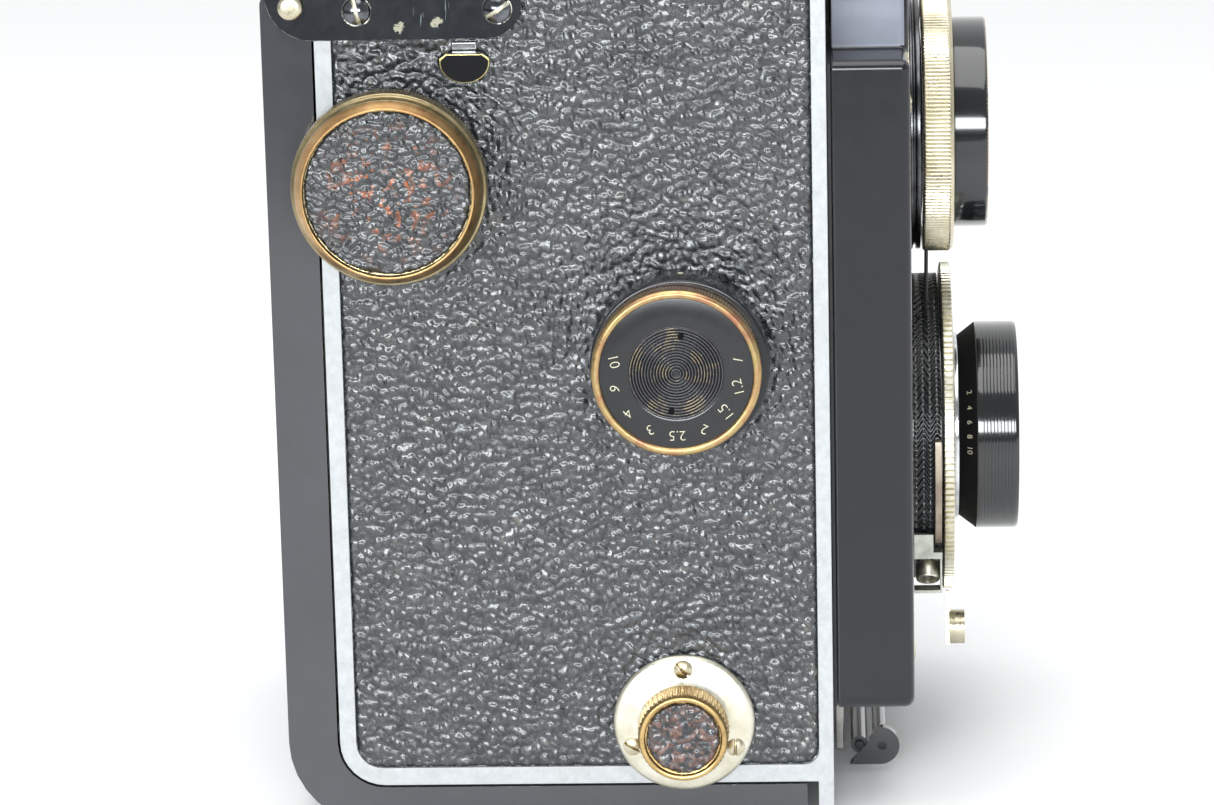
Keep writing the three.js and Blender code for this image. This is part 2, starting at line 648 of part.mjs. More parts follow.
function hoodBase() {
  const { half, front, rear, bottom, top, wall } = HOOD;
  const outline = rounded([[-half, front, 3], [half, front, 3], [half, rear, 3], [-half, rear, 3]]);
  return alongZ(outline, bottom, top)
    .subtract(box(-half + wall, half - wall, front + wall, rear - wall, bottom - 1, top + 1));
}

function hoodLid() {
  const { front, rear, half, bottom, top } = LID;
  const outline = rounded([[-half, front, 1], [half, front, 1], [half, rear, 3], [-half, rear, 3]]);
  return alongZ(outline, bottom, top)
    .subtract(box(-half + 4, half - 4, front + 4, rear - 4, bottom - 1, bottom + 1));
}

// The side leaf's corners are cut back so that it clears the lid and the rear leaf as they rise.
function sideFlap() {
  const { hinge, z, reach, front, rear } = SIDE_FLAP;
  const outline = rounded([
    [-hinge, front], [-hinge + 11, front, 1], [-hinge + reach, front + 14, 2],
    [-hinge + reach, rear - 25, 2], [-hinge + 4, rear, 1], [-hinge, rear],
  ]);
  return alongZ(outline, z - FLAP / 2, z + FLAP / 2);
}

function rearFlap() {
  const { hinge, z, reach, half } = REAR_FLAP;
  const outline = rounded([
    [-half, hinge], [-half, hinge - 5, 1], [-half + 12, hinge - reach, 3],
    [half - 12, hinge - reach, 3], [half, hinge - 5, 1], [half, hinge],
  ]);
  return alongZ(outline, z - FLAP / 2, z + FLAP / 2);
}

function loupeArm() {
  const { y, z, centre, outer, bore, thickness } = LOUPE;
  const ring = new THREE.CylinderGeometry(outer, outer, thickness, 36);
  ring.rotateX(Math.PI / 2);
  ring.translate(0, y + centre, z - thickness / 2);
  const hole = new THREE.CylinderGeometry(bore, bore, 9, 32);
  hole.rotateX(Math.PI / 2);
  hole.translate(0, y + centre, z);
  return solid(ring).add(box(-9, 9, y, y + 8, z - 1.4, z - 0.4)).subtract(solid(hole));
}

function loupeLens() {
  const { y, z, centre, bore, thickness } = LOUPE;
  const disc = new THREE.CylinderGeometry(bore - GAP, bore - GAP, thickness - 0.4, 32);
  disc.rotateX(Math.PI / 2);
  disc.translate(0, y + centre, z - thickness / 2);
  return solid(disc);
}

function hoodParts() {
  const { half, front, rear, bottom, top } = SCREEN;
  const flap = sideFlap();
  return [
    part("top_frame", topFrame(), lacquer),
    part("focusing_screen", box(-half, half, front, rear, bottom, top), glass),
    part("hood_base", hoodBase(), lacquer),
    part("hood_lid", hoodLid(), leather),
    part("hood_flap_right", flap, lacquer),
    part("hood_flap_left", mirrored(flap), lacquer),
    part("hood_flap_rear", rearFlap(), lacquer),
    part("loupe_arm", loupeArm(), steel),
    part("loupe_lens", loupeLens(), glass),
  ];
}

// ---- back door and latch ------------------------------------------------
function doorOutline(inset, backInset, lip) {
  const { rear, front, corner } = DOOR;
  const inner = BODY.corner + GAP;
  const outer = corner - inset;
  const [back, bottom] = [BODY.rear + lip, BODY.bottom - lip];
  return rounded([
    [front + inset, inset, 1], [rear - backInset, inset, outer], [rear - backInset, PIVOT.z],
    [back, PIVOT.z], [back, bottom, inner], [front + inset, bottom],
  ]);
}

function doorKnuckle() {
  const outline = new THREE.Shape();
  const reach = DOOR.rear - PIVOT.y;
  outline.moveTo(DOOR.rear, KNUCKLE.bottom);
  outline.lineTo(DOOR.rear, PIVOT.z);
  outline.absellipse(PIVOT.y, PIVOT.z, reach, KNUCKLE.rise, 0, Math.PI / 2, false);
  outline.absarc(PIVOT.y, PIVOT.z, KNUCKLE.rise, Math.PI / 2, Math.PI, false);
  outline.lineTo(PIVOT.y - KNUCKLE.rise, KNUCKLE.bottom);
  outline.closePath();
  return alongX(outline, -DOOR.half, DOOR.half, 6);
}

function backDoor() {
  const { wall, back, half } = DOOR;
  const tray = alongX(doorOutline(0, 0, GAP), -half, half);
  const hollow = alongX(doorOutline(wall, back, -2), -half + wall, half - wall);
  const top = box(-half - 1, half + 1, 0, 50, KNUCKLE.bottom + 0.5, 150);
  const pinHole = cylinderX(PIVOT.y, PIVOT.z, 1.8, -40, -32.6, SMALL_ROUND);
  const leatherSeat = box(-35.3, 35.3, DOOR.rear - 0.9, 50, 15.7, 106.3);
  const bushHole = new THREE.CylinderGeometry(BUSH.radius + GAP, BUSH.radius + GAP, 9, 32);
  bushHole.rotateX(Math.PI / 2);
  bushHole.translate(0, BUSH.y, 0);
  return tray.subtract(hollow).subtract(top).add(doorKnuckle())
    .subtract(pinHole).subtract(mirrored(pinHole)).subtract(leatherSeat).subtract(solid(bushHole))
    .subtract(cylinderY(RED_WINDOW.x, RED_WINDOW.z, RED_WINDOW.radius, 30, 40, 24));
}

function backLeather() {
  const { x, z, radius } = RED_WINDOW;
  const sheet = alongY(rounded([[-35, 16, 2], [35, 16, 2], [35, 106, 2], [-35, 106, 2]]), 35.6, 36.3);
  return sheet.subtract(cylinderY(x, z, radius + 1.5, 30, 40, 28));
}

function tripodBush() {
  const { y, radius, bore, height } = BUSH;
  const profile = tube(radius, bore, 0, height).map(([r, h]) => new THREE.Vector2(r, h));
  const ring = new THREE.LatheGeometry(profile, ROUND);
  ring.rotateX(Math.PI / 2);
  ring.translate(0, y, 0);
  return solid(ring);
}

function windowCover() {
  const { x, z, radius } = RED_WINDOW;
  const pivot = z + 9;
  const outline = new THREE.Shape();
  outline.absarc(x, z, radius + 0.8, Math.PI, 2 * Math.PI, false);
  outline.absarc(x, pivot, 2.2, 0, Math.PI, false);
  outline.closePath();
  return alongY(outline, 36.6, 37.2);
}

function latchBail() {
  const { y, z, cheek, thickness, tip, rear, radius } = LATCH;
  const outline = new THREE.Shape();
  outline.moveTo(rear, z + radius);
  outline.absarc(tip, z, radius, Math.PI / 2, 1.5 * Math.PI, false);
  outline.lineTo(rear, z - radius);
  outline.closePath();
  const side = alongX(outline, -cheek - thickness / 2, -cheek + thickness / 2);
  const cross = cylinderX(y, z, 1.2, -cheek, cheek, SMALL_ROUND);
  const grip = cylinderX(tip, z, 1, -cheek, cheek, SMALL_ROUND);
  return side.add(mirrored(side)).add(cross).add(grip);
}

function latchBase() {
  return box(-14, 14, -37.7, -36.55, 2.4, 9.4);
}

function pressurePlate() {
  return alongY(rounded([[-30, 14.5, 3], [30, 14.5, 3], [30, 75, 3], [-30, 75, 3]]), 29.9, 31.1);
}

function doorParts() {
  return [
    part("back_door", backDoor(), lacquer),
    part("leather_back", backLeather(), leather),
    part("pressure_plate", pressurePlate(), steel),
    part("tripod_bush", tripodBush(), nickel),
    part("red_window", cylinderY(RED_WINDOW.x, RED_WINDOW.z, RED_WINDOW.radius - GAP, 34.6, 35.6, 24), ruby),
    part("window_cover", windowCover(), nickel),
    part("latch_base", latchBase(), steel),
    part("latch_bail", latchBail(), lacquer),
  ];
}

const camera = new THREE.Group();
camera.add(...bodyParts(), ...hingeParts(), ...knobParts(), ...lensParts(), ...hoodParts(), ...doorParts());

export default camera;
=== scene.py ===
"""Looks of the twin lens reflex camera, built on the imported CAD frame.

Sizes in this script are millimetres in the row frame (+Z up, lenses towards -Y, knobs on the -X side);
the helpers turn them into metres.
"""
import json
import math

import bmesh
import bpy
from mathutils import Matrix, Vector, noise

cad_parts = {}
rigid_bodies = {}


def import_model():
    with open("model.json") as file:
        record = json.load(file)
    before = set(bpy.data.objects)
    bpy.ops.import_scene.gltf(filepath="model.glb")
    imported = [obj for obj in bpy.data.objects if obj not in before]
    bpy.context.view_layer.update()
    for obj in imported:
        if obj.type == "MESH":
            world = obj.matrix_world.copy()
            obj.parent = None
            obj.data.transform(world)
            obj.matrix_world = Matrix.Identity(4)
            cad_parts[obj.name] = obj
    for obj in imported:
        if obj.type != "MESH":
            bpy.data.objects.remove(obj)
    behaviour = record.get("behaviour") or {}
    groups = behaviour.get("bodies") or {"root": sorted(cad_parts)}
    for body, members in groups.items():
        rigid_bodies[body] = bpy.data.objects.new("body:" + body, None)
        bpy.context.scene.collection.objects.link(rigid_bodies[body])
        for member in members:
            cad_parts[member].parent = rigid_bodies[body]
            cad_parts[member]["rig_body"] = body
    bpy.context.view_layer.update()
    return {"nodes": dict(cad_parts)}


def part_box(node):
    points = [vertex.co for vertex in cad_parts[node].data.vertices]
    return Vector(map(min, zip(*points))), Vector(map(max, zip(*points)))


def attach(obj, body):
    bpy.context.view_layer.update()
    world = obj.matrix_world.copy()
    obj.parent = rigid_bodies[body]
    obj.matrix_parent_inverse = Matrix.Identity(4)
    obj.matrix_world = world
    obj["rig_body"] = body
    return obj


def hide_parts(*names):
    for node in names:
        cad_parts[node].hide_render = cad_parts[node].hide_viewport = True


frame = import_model()

MM = 0.001
TURN = 2 * math.pi


# ---- places read from the CAD nodes ---------------------------------------
def low(node):
    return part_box(node)[0] / MM


def high(node):
    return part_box(node)[1] / MM


def middle(node):
    return (low(node) + high(node)) / 2


def radius_of(node):
    """Half the height of a round node."""
    return (high(node).z - low(node).z) / 2


def body_of(node):
    return frame["nodes"][node]["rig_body"]


BODY_LOW, BODY_HIGH = low("body_shell"), high("body_shell")
WIND = middle("wind_knob")
FOCUS = middle("focus_knob")
SUPPLY = middle("supply_knob")
VIEW = middle("viewing_ring")
TAKE = middle("speed_ring")
WIND_FACE, FOCUS_FACE, SUPPLY_FACE = -low("wind_knob").x, -low("focus_knob").x, -low("supply_knob").x


# ---- node material helpers -------------------------------------------------
class Look:
    """A small wrapper that builds one procedural Principled material."""

    def __init__(self, name, color, roughness, metallic=0.0, **sockets):
        self.material = bpy.data.materials.new(name)
        self.material.use_nodes = True
        self.nodes = self.material.node_tree.nodes
        self.links = self.material.node_tree.links
        self.shader = self.nodes["Principled BSDF"]
        self.place = self.nodes.new("ShaderNodeTexCoord").outputs["Object"]
        self.height = None
        self.shader.inputs["Base Color"].default_value = (*color, 1)
        self.shader.inputs["Roughness"].default_value = roughness
        self.shader.inputs["Metallic"].default_value = metallic
        for socket, value in sockets.items():
            self.shader.inputs[socket.replace("_", " ")].default_value = value

    def stretched(self, scale):
        node = self.nodes.new("ShaderNodeMapping")
        node.inputs["Scale"].default_value = scale
        self.links.new(self.place, node.inputs["Vector"])
        return node.outputs["Vector"]

    def noise(self, per_mm, detail=4.0, rough=0.6, distortion=0.0, place=None):
        node = self.nodes.new("ShaderNodeTexNoise")
        node.inputs["Scale"].default_value = per_mm / MM
        node.inputs["Detail"].default_value = detail
        node.inputs["Roughness"].default_value = rough
        node.inputs["Distortion"].default_value = distortion
        self.links.new(place or self.place, node.inputs["Vector"])
        return node.outputs["Fac"]

    def ramp(self, value, stops):
        node = self.nodes.new("ShaderNodeValToRGB")
        elements = node.color_ramp.elements
        while len(elements) < len(stops):
            elements.new(0.5)
        for element, (position, color) in zip(elements, stops):
            element.position = position
            element.color = (*color, 1) if isinstance(color, tuple) else (color, color, color, 1)
        self.links.new(value, node.inputs["Fac"])
        return node.outputs["Color"]

    def math(self, kind, a, b):
        node = self.nodes.new("ShaderNodeMath")
        node.operation = kind
        for value, socket in ((a, node.inputs[0]), (b, node.inputs[1])):
            if isinstance(value, (int, float)):
                socket.default_value = value
            else:
                self.links.new(value, socket)
        return node.outputs["Value"]

    def mix(self, share, a, b):
        node = self.nodes.new("ShaderNodeMix")
        node.data_type = "RGBA"
        sockets = (node.inputs["Factor"], node.inputs[6], node.inputs[7])
        for value, socket in zip((share, a, b), sockets):
            if isinstance(value, tuple):
                socket.default_value = (*value, 1)
            elif isinstance(value, float):
                socket.default_value = value
            else:
                self.links.new(value, socket)
        return node.outputs[2]

    def feed(self, socket, value):
        self.links.new(value, self.shader.inputs[socket])

    def cloud(self, socket, per_mm, detail, *stops, rough=0.6):
        """Feeds a socket with noise drawn through a ramp."""
        self.feed(socket, self.ramp(self.noise(per_mm, detail, rough), stops))

    def bump(self, value, depth_mm, strength=1.0):
        node = self.nodes.new("ShaderNodeBump")
        node.inputs["Strength"].default_value = strength
        node.inputs["Distance"].default_value = depth_mm * MM
        self.links.new(value, node.inputs["Height"])
        if self.height is not None:
            self.links.new(self.height, node.inputs["Normal"])
        self.height = node.outputs["Normal"]
        self.links.new(self.height, self.shader.inputs["Normal"])


def near(look, point, reach, soft=0.5):
    """1 at a point of the row frame, falling to 0 at that reach; sizes in millimetres."""
    node = look.nodes.new("ShaderNodeVectorMath")
    node.operation = "DISTANCE"
    look.links.new(look.place, node.inputs[0])
    node.inputs[1].default_value = [value * MM for value in point]
    share = look.math("DIVIDE", node.outputs["Value"], reach * MM)
    return look.ramp(share, [(1 - soft, 1.0), (1.0, 0.0)])


def stored(look, name):
    """A value kept on the mesh's own points."""
    node = look.nodes.new("ShaderNodeAttribute")
    node.attribute_name = name
    return node.outputs["Fac"]


def spots(look, per_mm, share, sharpness=0.04):
    """Scattered small flecks covering roughly that share of the surface, as a 0 to 1 mask."""
    field = look.noise(per_mm, detail=2.0, rough=0.5)
    edge = 0.5 + 0.32 * (1 - share)
    return look.ramp(field, [(edge, 0.0), (edge + sharpness, 1.0)])


# ---- materials --------------------------------------------------------------
def leather_look(name, rust=0.0, red=(0.42, 0.1, 0.03), pale=1.0, centre=(0, 0, 0), grain=(1, 0.8, 1.2)):
    look = Look(name, (0.05, 0.05, 0.05), 0.3, Specular_IOR_Level=0.7, Coat_Weight=0.5, Coat_Roughness=0.12)
    tops = look.ramp(look.noise(0.09, 5), [
        (0.3, (0.014 * pale, 0.018 * pale, 0.022 * pale)),
        (0.7, (0.044 * pale, 0.049 * pale, 0.053 * pale))])
    brown = look.mix(spots(look, 0.5, 0.5, 0.08), tops, (0.105 * pale, 0.097 * pale, 0.085 * pale))
    color = look.mix(spots(look, 1.5, 0.02), brown, (0.2, 0.07, 0.03))
    if rust:
        flecks = look.math("MULTIPLY", spots(look, 0.8, rust, 0.06), near(look, centre, 10.5, 0.8))
        color = look.mix(flecks, color, red)
    # Painted shade: the stored grain mask turns the colour near black in the creases between pebbles and
    # towards the rims where the leather turns down.
    look.feed("Base Color", look.mix(stored(look, "grain"), (0.006, 0.006, 0.008), color))
    look.cloud("Roughness", 1.3, 4, (0.35, 0.12), (0.65, 0.36))
    look.cloud("Coat Weight", 0.5, 3, (0.35, 0.1), (0.6, 1.0))
    look.bump(look.noise(1.7, 5, 0.7, place=look.stretched(grain)), 0.1, 1.0)
    return look.material


def lacquer_look(name, tone, roughness=0.2, dust=0.03, coat=0.5, wave=0.25):
    look = Look(name, tone, roughness, Specular_IOR_Level=0.5, Coat_Weight=coat, Coat_Roughness=0.06)
    cloud = look.ramp(look.noise(0.06, 5, 0.65), [(0.35, 0.0), (0.7, 1.0)])
    uneven = look.mix(cloud, tone, tuple(value * 1.25 for value in tone))
    specks = look.math("MULTIPLY", spots(look, 1.7, dust, 0.02), spots(look, 0.3, 0.4, 0.1))
    look.feed("Base Color", look.mix(specks, uneven, (0.3, 0.31, 0.31)))
    look.cloud("Roughness", 0.35, 5, (0.3, roughness * 0.9), (0.7, roughness * 1.15))
    look.bump(look.noise(0.5, 3, place=look.stretched((1, 9, 0.8))), 0.005, 0.5)
    look.bump(look.noise(0.16, 2), 0.02, wave)
    return look.material


# the right hinge plate's wear, in the row frame: chips as (y, z, reach) on the plate's outer face
PLATE_FACE = -38.8
CHIPS = ((18.3, 108.7, 2.3), (13.3, 109.2, 2.1), (15.4, 112.6, 1.2))
SCRATCH, SCRATCH_REACH = (PLATE_FACE, 13.9, 110.6), 2.6


def chipped_look():
    """The hinge plate's enamel: cream chips, a dragged scratch between them, a little dust."""
    tone = (0.005, 0.0065, 0.01)
    look = Look("chipped_enamel", tone, 0.24, Specular_IOR_Level=0.5, Coat_Weight=0.15, Coat_Roughness=0.1)
    lumps = look.noise(0.9, 4, 0.65, 0.8)
    chips = None
    for y, z, reach in CHIPS:
        one = look.math("MULTIPLY", lumps, near(look, (PLATE_FACE, y, z), reach, 0.9))
        chips = one if chips is None else look.math("MAXIMUM", chips, one)
    chips = look.ramp(chips, [(0.4, 0.0), (0.43, 1.0)])
    lines = look.noise(2.2, 2, 0.5, 0.4, look.stretched((1, 1.2, 0.1)))
    zone = near(look, SCRATCH, SCRATCH_REACH, 0.3)
    scratches = look.math("MULTIPLY", look.ramp(lines, [(0.62, 0.0), (0.64, 0.7)]), zone)
    specks = look.math("MULTIPLY", spots(look, 1.6, 0.1, 0.02), 0.5)
    color = look.mix(specks, tone, (0.12, 0.12, 0.11))
    color = look.mix(scratches, color, (0.2, 0.26, 0.25))
    look.feed("Base Color", look.mix(chips, color, (0.36, 0.35, 0.26)))
    look.cloud("Roughness", 0.5, 5, (0.3, 0.2), (0.7, 0.26))
    look.bump(look.math("SUBTRACT", 1.0, chips), 0.03, 0.6)
    return look.material


def worn_edge_look(name, metal, paint=0.02, share=0.5, per_mm=0.55):
    look = Look(name, metal, 0.3, 0.0)
    mask = look.ramp(look.noise(per_mm, 4, 0.7), [(0.62 - 0.3 * share, 0.0), (0.7 - 0.3 * share, 1.0)])
    look.feed("Base Color", look.mix(mask, (paint, paint, paint * 1.1), metal))
    look.feed("Metallic", mask)
    look.bump(mask, 0.015, 0.5)
    return look.material


def metal_look(name, color, dark, roughness=0.3, grain=0.6, verdigris=0.0, patch=0.5, spread=(0.38, 0.66)):
    look = Look(name, color, roughness, 1.0)
    tone = look.mix(look.ramp(look.noise(0.28, 5, 0.65), [(spread[0], 0.0), (spread[1], 1.0)]), color, dark)
    tone = look.mix(look.math("MULTIPLY", spots(look, 1.3, 0.1), patch), tone, dark)
    if verdigris:
        green = look.math("MULTIPLY", spots(look, 0.9, verdigris), spots(look, 0.13, 0.5, 0.1))
        tone = look.mix(green, tone, (0.03, 0.36, 0.3))
        look.feed("Metallic", look.math("SUBTRACT", 1.0, green))
    look.feed("Base Color", tone)
    look.cloud("Roughness", 0.8, 5, (0.3, roughness * 0.75), (0.7, roughness * 1.5), rough=0.7)
    look.bump(look.noise(4.0, 3), 0.008, grain)
    return look.material


def aluminium_look():
    look = Look("matt_aluminium", (0.4, 0.41, 0.42), 0.5, 0.3)
    tone = look.ramp(look.noise(0.9, 6, 0.7), [(0.3, (0.4, 0.415, 0.425)), (0.7, (0.52, 0.535, 0.54))])
    smudge = look.math("MULTIPLY", look.ramp(look.noise(0.14, 5, 0.7), [(0.52, 0.0), (0.72, 1.0)]), 0.3)
    color = look.mix(smudge, tone, (0.42, 0.4, 0.36))
    look.feed("Base Color", look.mix(spots(look, 0.8, 0.03), color, (0.16, 0.16, 0.15)))
    look.cloud("Roughness", 0.6, 4, (0.3, 0.42), (0.7, 0.6))
    look.bump(look.noise(3.0, 4, 0.7), 0.03, 0.6)
    return look.material


def glass_look(name, tint, roughness=0.0, transmission=1.0):
    look = Look(name, tint, roughness, 0.0, IOR=1.52, Transmission_Weight=transmission)
    look.cloud("Roughness", 0.2, 3, (0.4, roughness), (0.7, roughness + 0.03))
    return look.material


def mirror_look():
    look = Look("silvered_mirror", (0.86, 0.87, 0.88), 0.03, 1.0)
    look.cloud("Base Color", 0.08, 5, (0.45, (0.88, 0.89, 0.9)), (0.75, (0.66, 0.64, 0.58)))
    return look.material


def enamel_look():
    look = Look("cream_enamel", (0.6, 0.57, 0.42), 0.5)
    look.cloud("Base Color", 0.6, 4, (0.3, (0.46, 0.43, 0.3)), (0.7, (0.66, 0.63, 0.48)))
    return look.material


LEATHER = leather_look("pebbled_leather")
WIND_LEATHER = leather_look("rust_flecked_leather", 0.82, (0.4, 0.1, 0.022), 0.7,
                            (-WIND_FACE, WIND.y, WIND.z), (1, 0.5, 1.5))
SUPPLY_LEATHER = leather_look("browned_leather", 1.1, (0.16, 0.075, 0.055), 0.8,
                              (-SUPPLY_FACE, SUPPLY.y, SUPPLY.z))
LACQUER = lacquer_look("grey_black_lacquer", (0.036, 0.038, 0.043), 0.2, coat=1.0, wave=0.08)
CASE_BLACK = lacquer_look("case_black", (0.014, 0.015, 0.016), 0.22, 0.0, 0.4)
SCALE_TAN = metal_look("tarnished_scale", (0.5, 0.43, 0.34), (0.3, 0.24, 0.19), 0.34)
FRONT_BLACK = lacquer_look("front_black_lacquer", (0.006, 0.0065, 0.009), 0.22, 0.03, 0.15, 0.04)
# Light grey-blue for the black standard's neck sides: a painted reflection of the bright surroundings on the
# black lacquer.
NECK_REFLECTION_GREY = lacquer_look("neck_sides_reflection_grey", (0.2, 0.215, 0.26), 0.5, 0.0, 0.0, 0.05)
CHIPPED = chipped_look()
GLOSS_BLACK = lacquer_look("gloss_black_enamel", (0.006, 0.006, 0.007), 0.08, 0.02, 0.8)
BLACK_TUBE = lacquer_look("black_lens_tube", (0.01, 0.011, 0.012), 0.13, 0.06, 0.7)
KNOB_BLACK = lacquer_look("black_knob_disc", (0.012, 0.0125, 0.014), 0.22, 0.08, coat=0.2)
MATT_BLACK = lacquer_look("matt_black", (0.01, 0.01, 0.011), 0.55, 0.0, 0.0)
CONE_BLACK = lacquer_look("cone_black", (0.003, 0.003, 0.0035), 0.7, 0.0, 0.0)
CONE_BLACK.node_tree.nodes["Principled BSDF"].inputs["Specular IOR Level"].default_value = 0.12
RIDGE_WEAR = worn_edge_look("ridge_wear", (0.34, 0.27, 0.17), 0.05, share=0.35, per_mm=0.3)
EDGE_BLACK = lacquer_look("edge_black", (0.02, 0.021, 0.024), 0.18, 0.0)
EDGE_SILVER = worn_edge_look("edge_worn_silver", (0.6, 0.58, 0.5), share=0.42)
EDGE_BRASS = worn_edge_look("edge_worn_brass", (0.72, 0.5, 0.2), share=0.7)
EDGE_YELLOW = worn_edge_look("edge_worn_yellow", (0.78, 0.66, 0.28), share=0.95, per_mm=0.9)
SPECKLED_BLACK = metal_look("speckled_black", (0.13, 0.135, 0.14), (0.06, 0.06, 0.065), 0.2,
                            verdigris=0.12)
ALUMINIUM = aluminium_look()
BRASS = metal_look("aged_brass", (0.66, 0.46, 0.2), (0.42, 0.28, 0.12), 0.28)
BRASS_OLIVE = metal_look("olive_brass", (0.42, 0.35, 0.2), (0.27, 0.21, 0.11), 0.3)
BRASS_ORANGE = metal_look("orange_brass", (0.52, 0.34, 0.15), (0.38, 0.21, 0.09), 0.32)
BRASS_RED = metal_look("reddened_brass", (0.5, 0.37, 0.17), (0.42, 0.2, 0.12), 0.3, spread=(0.42, 0.6))
NICKEL = metal_look("aged_nickel", (0.7, 0.65, 0.5), (0.56, 0.5, 0.34), 0.28, verdigris=0.04)
CREAM_NICKEL = metal_look("cream_nickel", (0.8, 0.78, 0.68), (0.66, 0.62, 0.48), 0.34, verdigris=0.03)
GREEN_STEEL = metal_look("verdigris_steel", (0.62, 0.63, 0.56), (0.4, 0.41, 0.36), 0.45, verdigris=0.2)
CHROME = metal_look("worn_chrome", (0.8, 0.82, 0.84), (0.5, 0.52, 0.54), 0.14)
DARK_CHROME = metal_look("dark_chrome", (0.2, 0.21, 0.23), (0.08, 0.085, 0.095), 0.16)
STEEL = metal_look("dull_steel", (0.5, 0.49, 0.46), (0.32, 0.31, 0.29), 0.38)
GLASS = glass_look("lens_glass", (0.97, 0.98, 1.0))
GROUND_GLASS = glass_look("ground_glass", (0.86, 0.88, 0.88), 0.35, 0.6)
RUBY = glass_look("ruby_glass", (0.5, 0.01, 0.02), 0.02, 0.7)
MIRROR = mirror_look()
ENAMEL = enamel_look()


# ---- mesh helpers -------------------------------------------------------------
def linked(name, data):
    """A new object of the scene holding that data."""
    item = bpy.data.objects.new(name, data)
    bpy.context.scene.collection.objects.link(item)
    return item


def set_looks(mesh, *looks):
    mesh.materials.clear()
    for look in looks:
        mesh.materials.append(look)


def placed(mesh, turn, spot):
    """The mesh turned by a matrix about the origin, then moved to a spot in millimetres."""
    mesh.transform(turn.to_4x4())
    mesh.transform(Matrix.Translation(Vector(spot) * MM))
    return mesh


def smooth_by_angle(mesh, degrees):
    edit = bmesh.new()
    edit.from_mesh(mesh)
    limit = math.radians(degrees)
    for face in edit.faces:
        face.smooth = True
    for edge in edit.edges:
        edge.smooth = len(edge.link_faces) == 2 and edge.calc_face_angle(0) < limit
    edit.to_mesh(mesh)
    edit.free()


def add_piece(name, mesh, look, body, node=None, smooth=38):
    """Links a mesh as a piece that rides on a body and, given a node, stands for it."""
    piece = linked(name, mesh)
    if look is not None:
        set_looks(mesh, look)
    smooth_by_angle(mesh, smooth)
    if look is None:
        piece.modifiers.new("even_shading", "WEIGHTED_NORMAL").keep_sharp = True
        evaluated(piece)
    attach(piece, body)
    if node:
        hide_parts(node)
    return piece


def mesh_from(name, points, faces):
    mesh = bpy.data.meshes.new(name)
    mesh.from_pydata([Vector(p) * MM for p in points], [], faces)
    mesh.validate()
    edit = bmesh.new()
    edit.from_mesh(mesh)
    bmesh.ops.recalc_face_normals(edit, faces=edit.faces)
    edit.to_mesh(mesh)
    edit.free()
    return mesh


def softened(profile, radius=0.18, steps=3):
    """The profile with each inner corner rounded; points are (radius, along, knurl share)."""
    points = [tuple(p) + (0.0,) * (3 - len(p)) for p in profile]
    closed = points[0] == points[-1]
    rounded = [] if closed else [points[0]]
    span = range(0, len(points) - 1) if closed else range(1, len(points) - 1)
    for i in span:
        before = Vector(points[i - 1] if i else points[-2])
        here = Vector(points[i])
        after = Vector(points[i + 1])
        back = min(radius, 0.45 * (before.xy - here.xy).length)
        onward = min(radius, 0.45 * (after.xy - here.xy).length)
        start = here.lerp(before, back / max((before.xy - here.xy).length, 1e-6))
        end = here.lerp(after, onward / max((after.xy - here.xy).length, 1e-6))
        for k in range(steps):
            t = k / (steps - 1)
            rounded.append(tuple(start * (1 - t) ** 2 + here * 2 * t * (1 - t) + end * t * t))
    rounded.append(rounded[0] if closed else points[-1])
    return rounded


def around(axis, centre, radius, angle, along):
    """A point at that radius and angle about an axis: out (-X), front (Y) or up (Z)."""
    a, b = radius * math.cos(angle), radius * math.sin(angle)
    if axis == "out":
        return (-along, centre.y + a, centre.z + b)
    if axis == "front":
        return (centre.x + a, along, centre.z + b)
    return (centre.x + a, centre.y + b, along)


def turned_mesh(name, axis, centre, profile, steps=128, relief=None):
    """A surface of revolution; relief(angle, along) adds to the radius where the knurl share is set."""
    closed = profile[0] == profile[-1]
    rings = []
    points = []
    for radius, along, share in (profile[:-1] if closed else profile):
        if radius < 1e-6:
            rings.append([len(points)])
            points.append(around(axis, centre, 0, 0, along))
            continue
        ring = []
        for k in range(steps):
            angle = TURN * k / steps
            extra = share * relief(angle, along) if relief and share else 0
            ring.append(len(points))
            points.append(around(axis, centre, radius + extra, angle, along))
        rings.append(ring)
    if closed:
        rings.append(rings[0])
    faces = []
    for first, second in zip(rings, rings[1:]):
        for k in range(steps):
            n = (k + 1) % steps
            corners = [first[k % len(first)], first[n % len(first)], second[n % len(second)],
                       second[k % len(second)]]
            unique = list(dict.fromkeys(corners))
            if len(unique) > 2:
                faces.append(unique)
    return mesh_from(name, points, faces)


def turned(name, axis, centre, profile, look, body, node=None, steps=128, relief=None, round_off=0.18,
           smooth=38):
    mesh = turned_mesh(name, axis, centre, softened(profile, round_off), steps, relief)
    return add_piece(name, mesh, look, body, node, smooth)


def looped(*points):
    """A closed profile, its first point given again at the end."""
    return list(points) + [points[0]]


def tube(outer, bore, start, end):
    return looped((bore, start), (outer, start), (outer, end), (bore, end))


def ends(node):
    """The rear and front levels of a node of the lens side, along Y."""
    return high(node).y, low(node).y


def out_ends(node):
    """The inner and outer levels of a node on the knob side, as distances out from the middle plane."""
    return -high(node).x, -low(node).x


def saw(value):
    """A triangle wave between 0 and 1."""
    return abs((value % 1.0) * 2 - 1)


def straight_knurl(count, depth):
    return lambda angle, along: -depth * saw(count * angle / TURN)


def diamond_knurl(count, depth, slope):
    def relief(angle, along):
        turn = count * angle / TURN
        return -depth * max(saw(turn + slope * along), saw(turn - slope * along))
    return relief


def evaluated(piece):
    """Bakes the piece's modifiers into its mesh."""
    graph = bpy.context.evaluated_depsgraph_get()
    mesh = bpy.data.meshes.new_from_object(piece.evaluated_get(graph))
    piece.modifiers.clear()
    piece.data = mesh
    return mesh


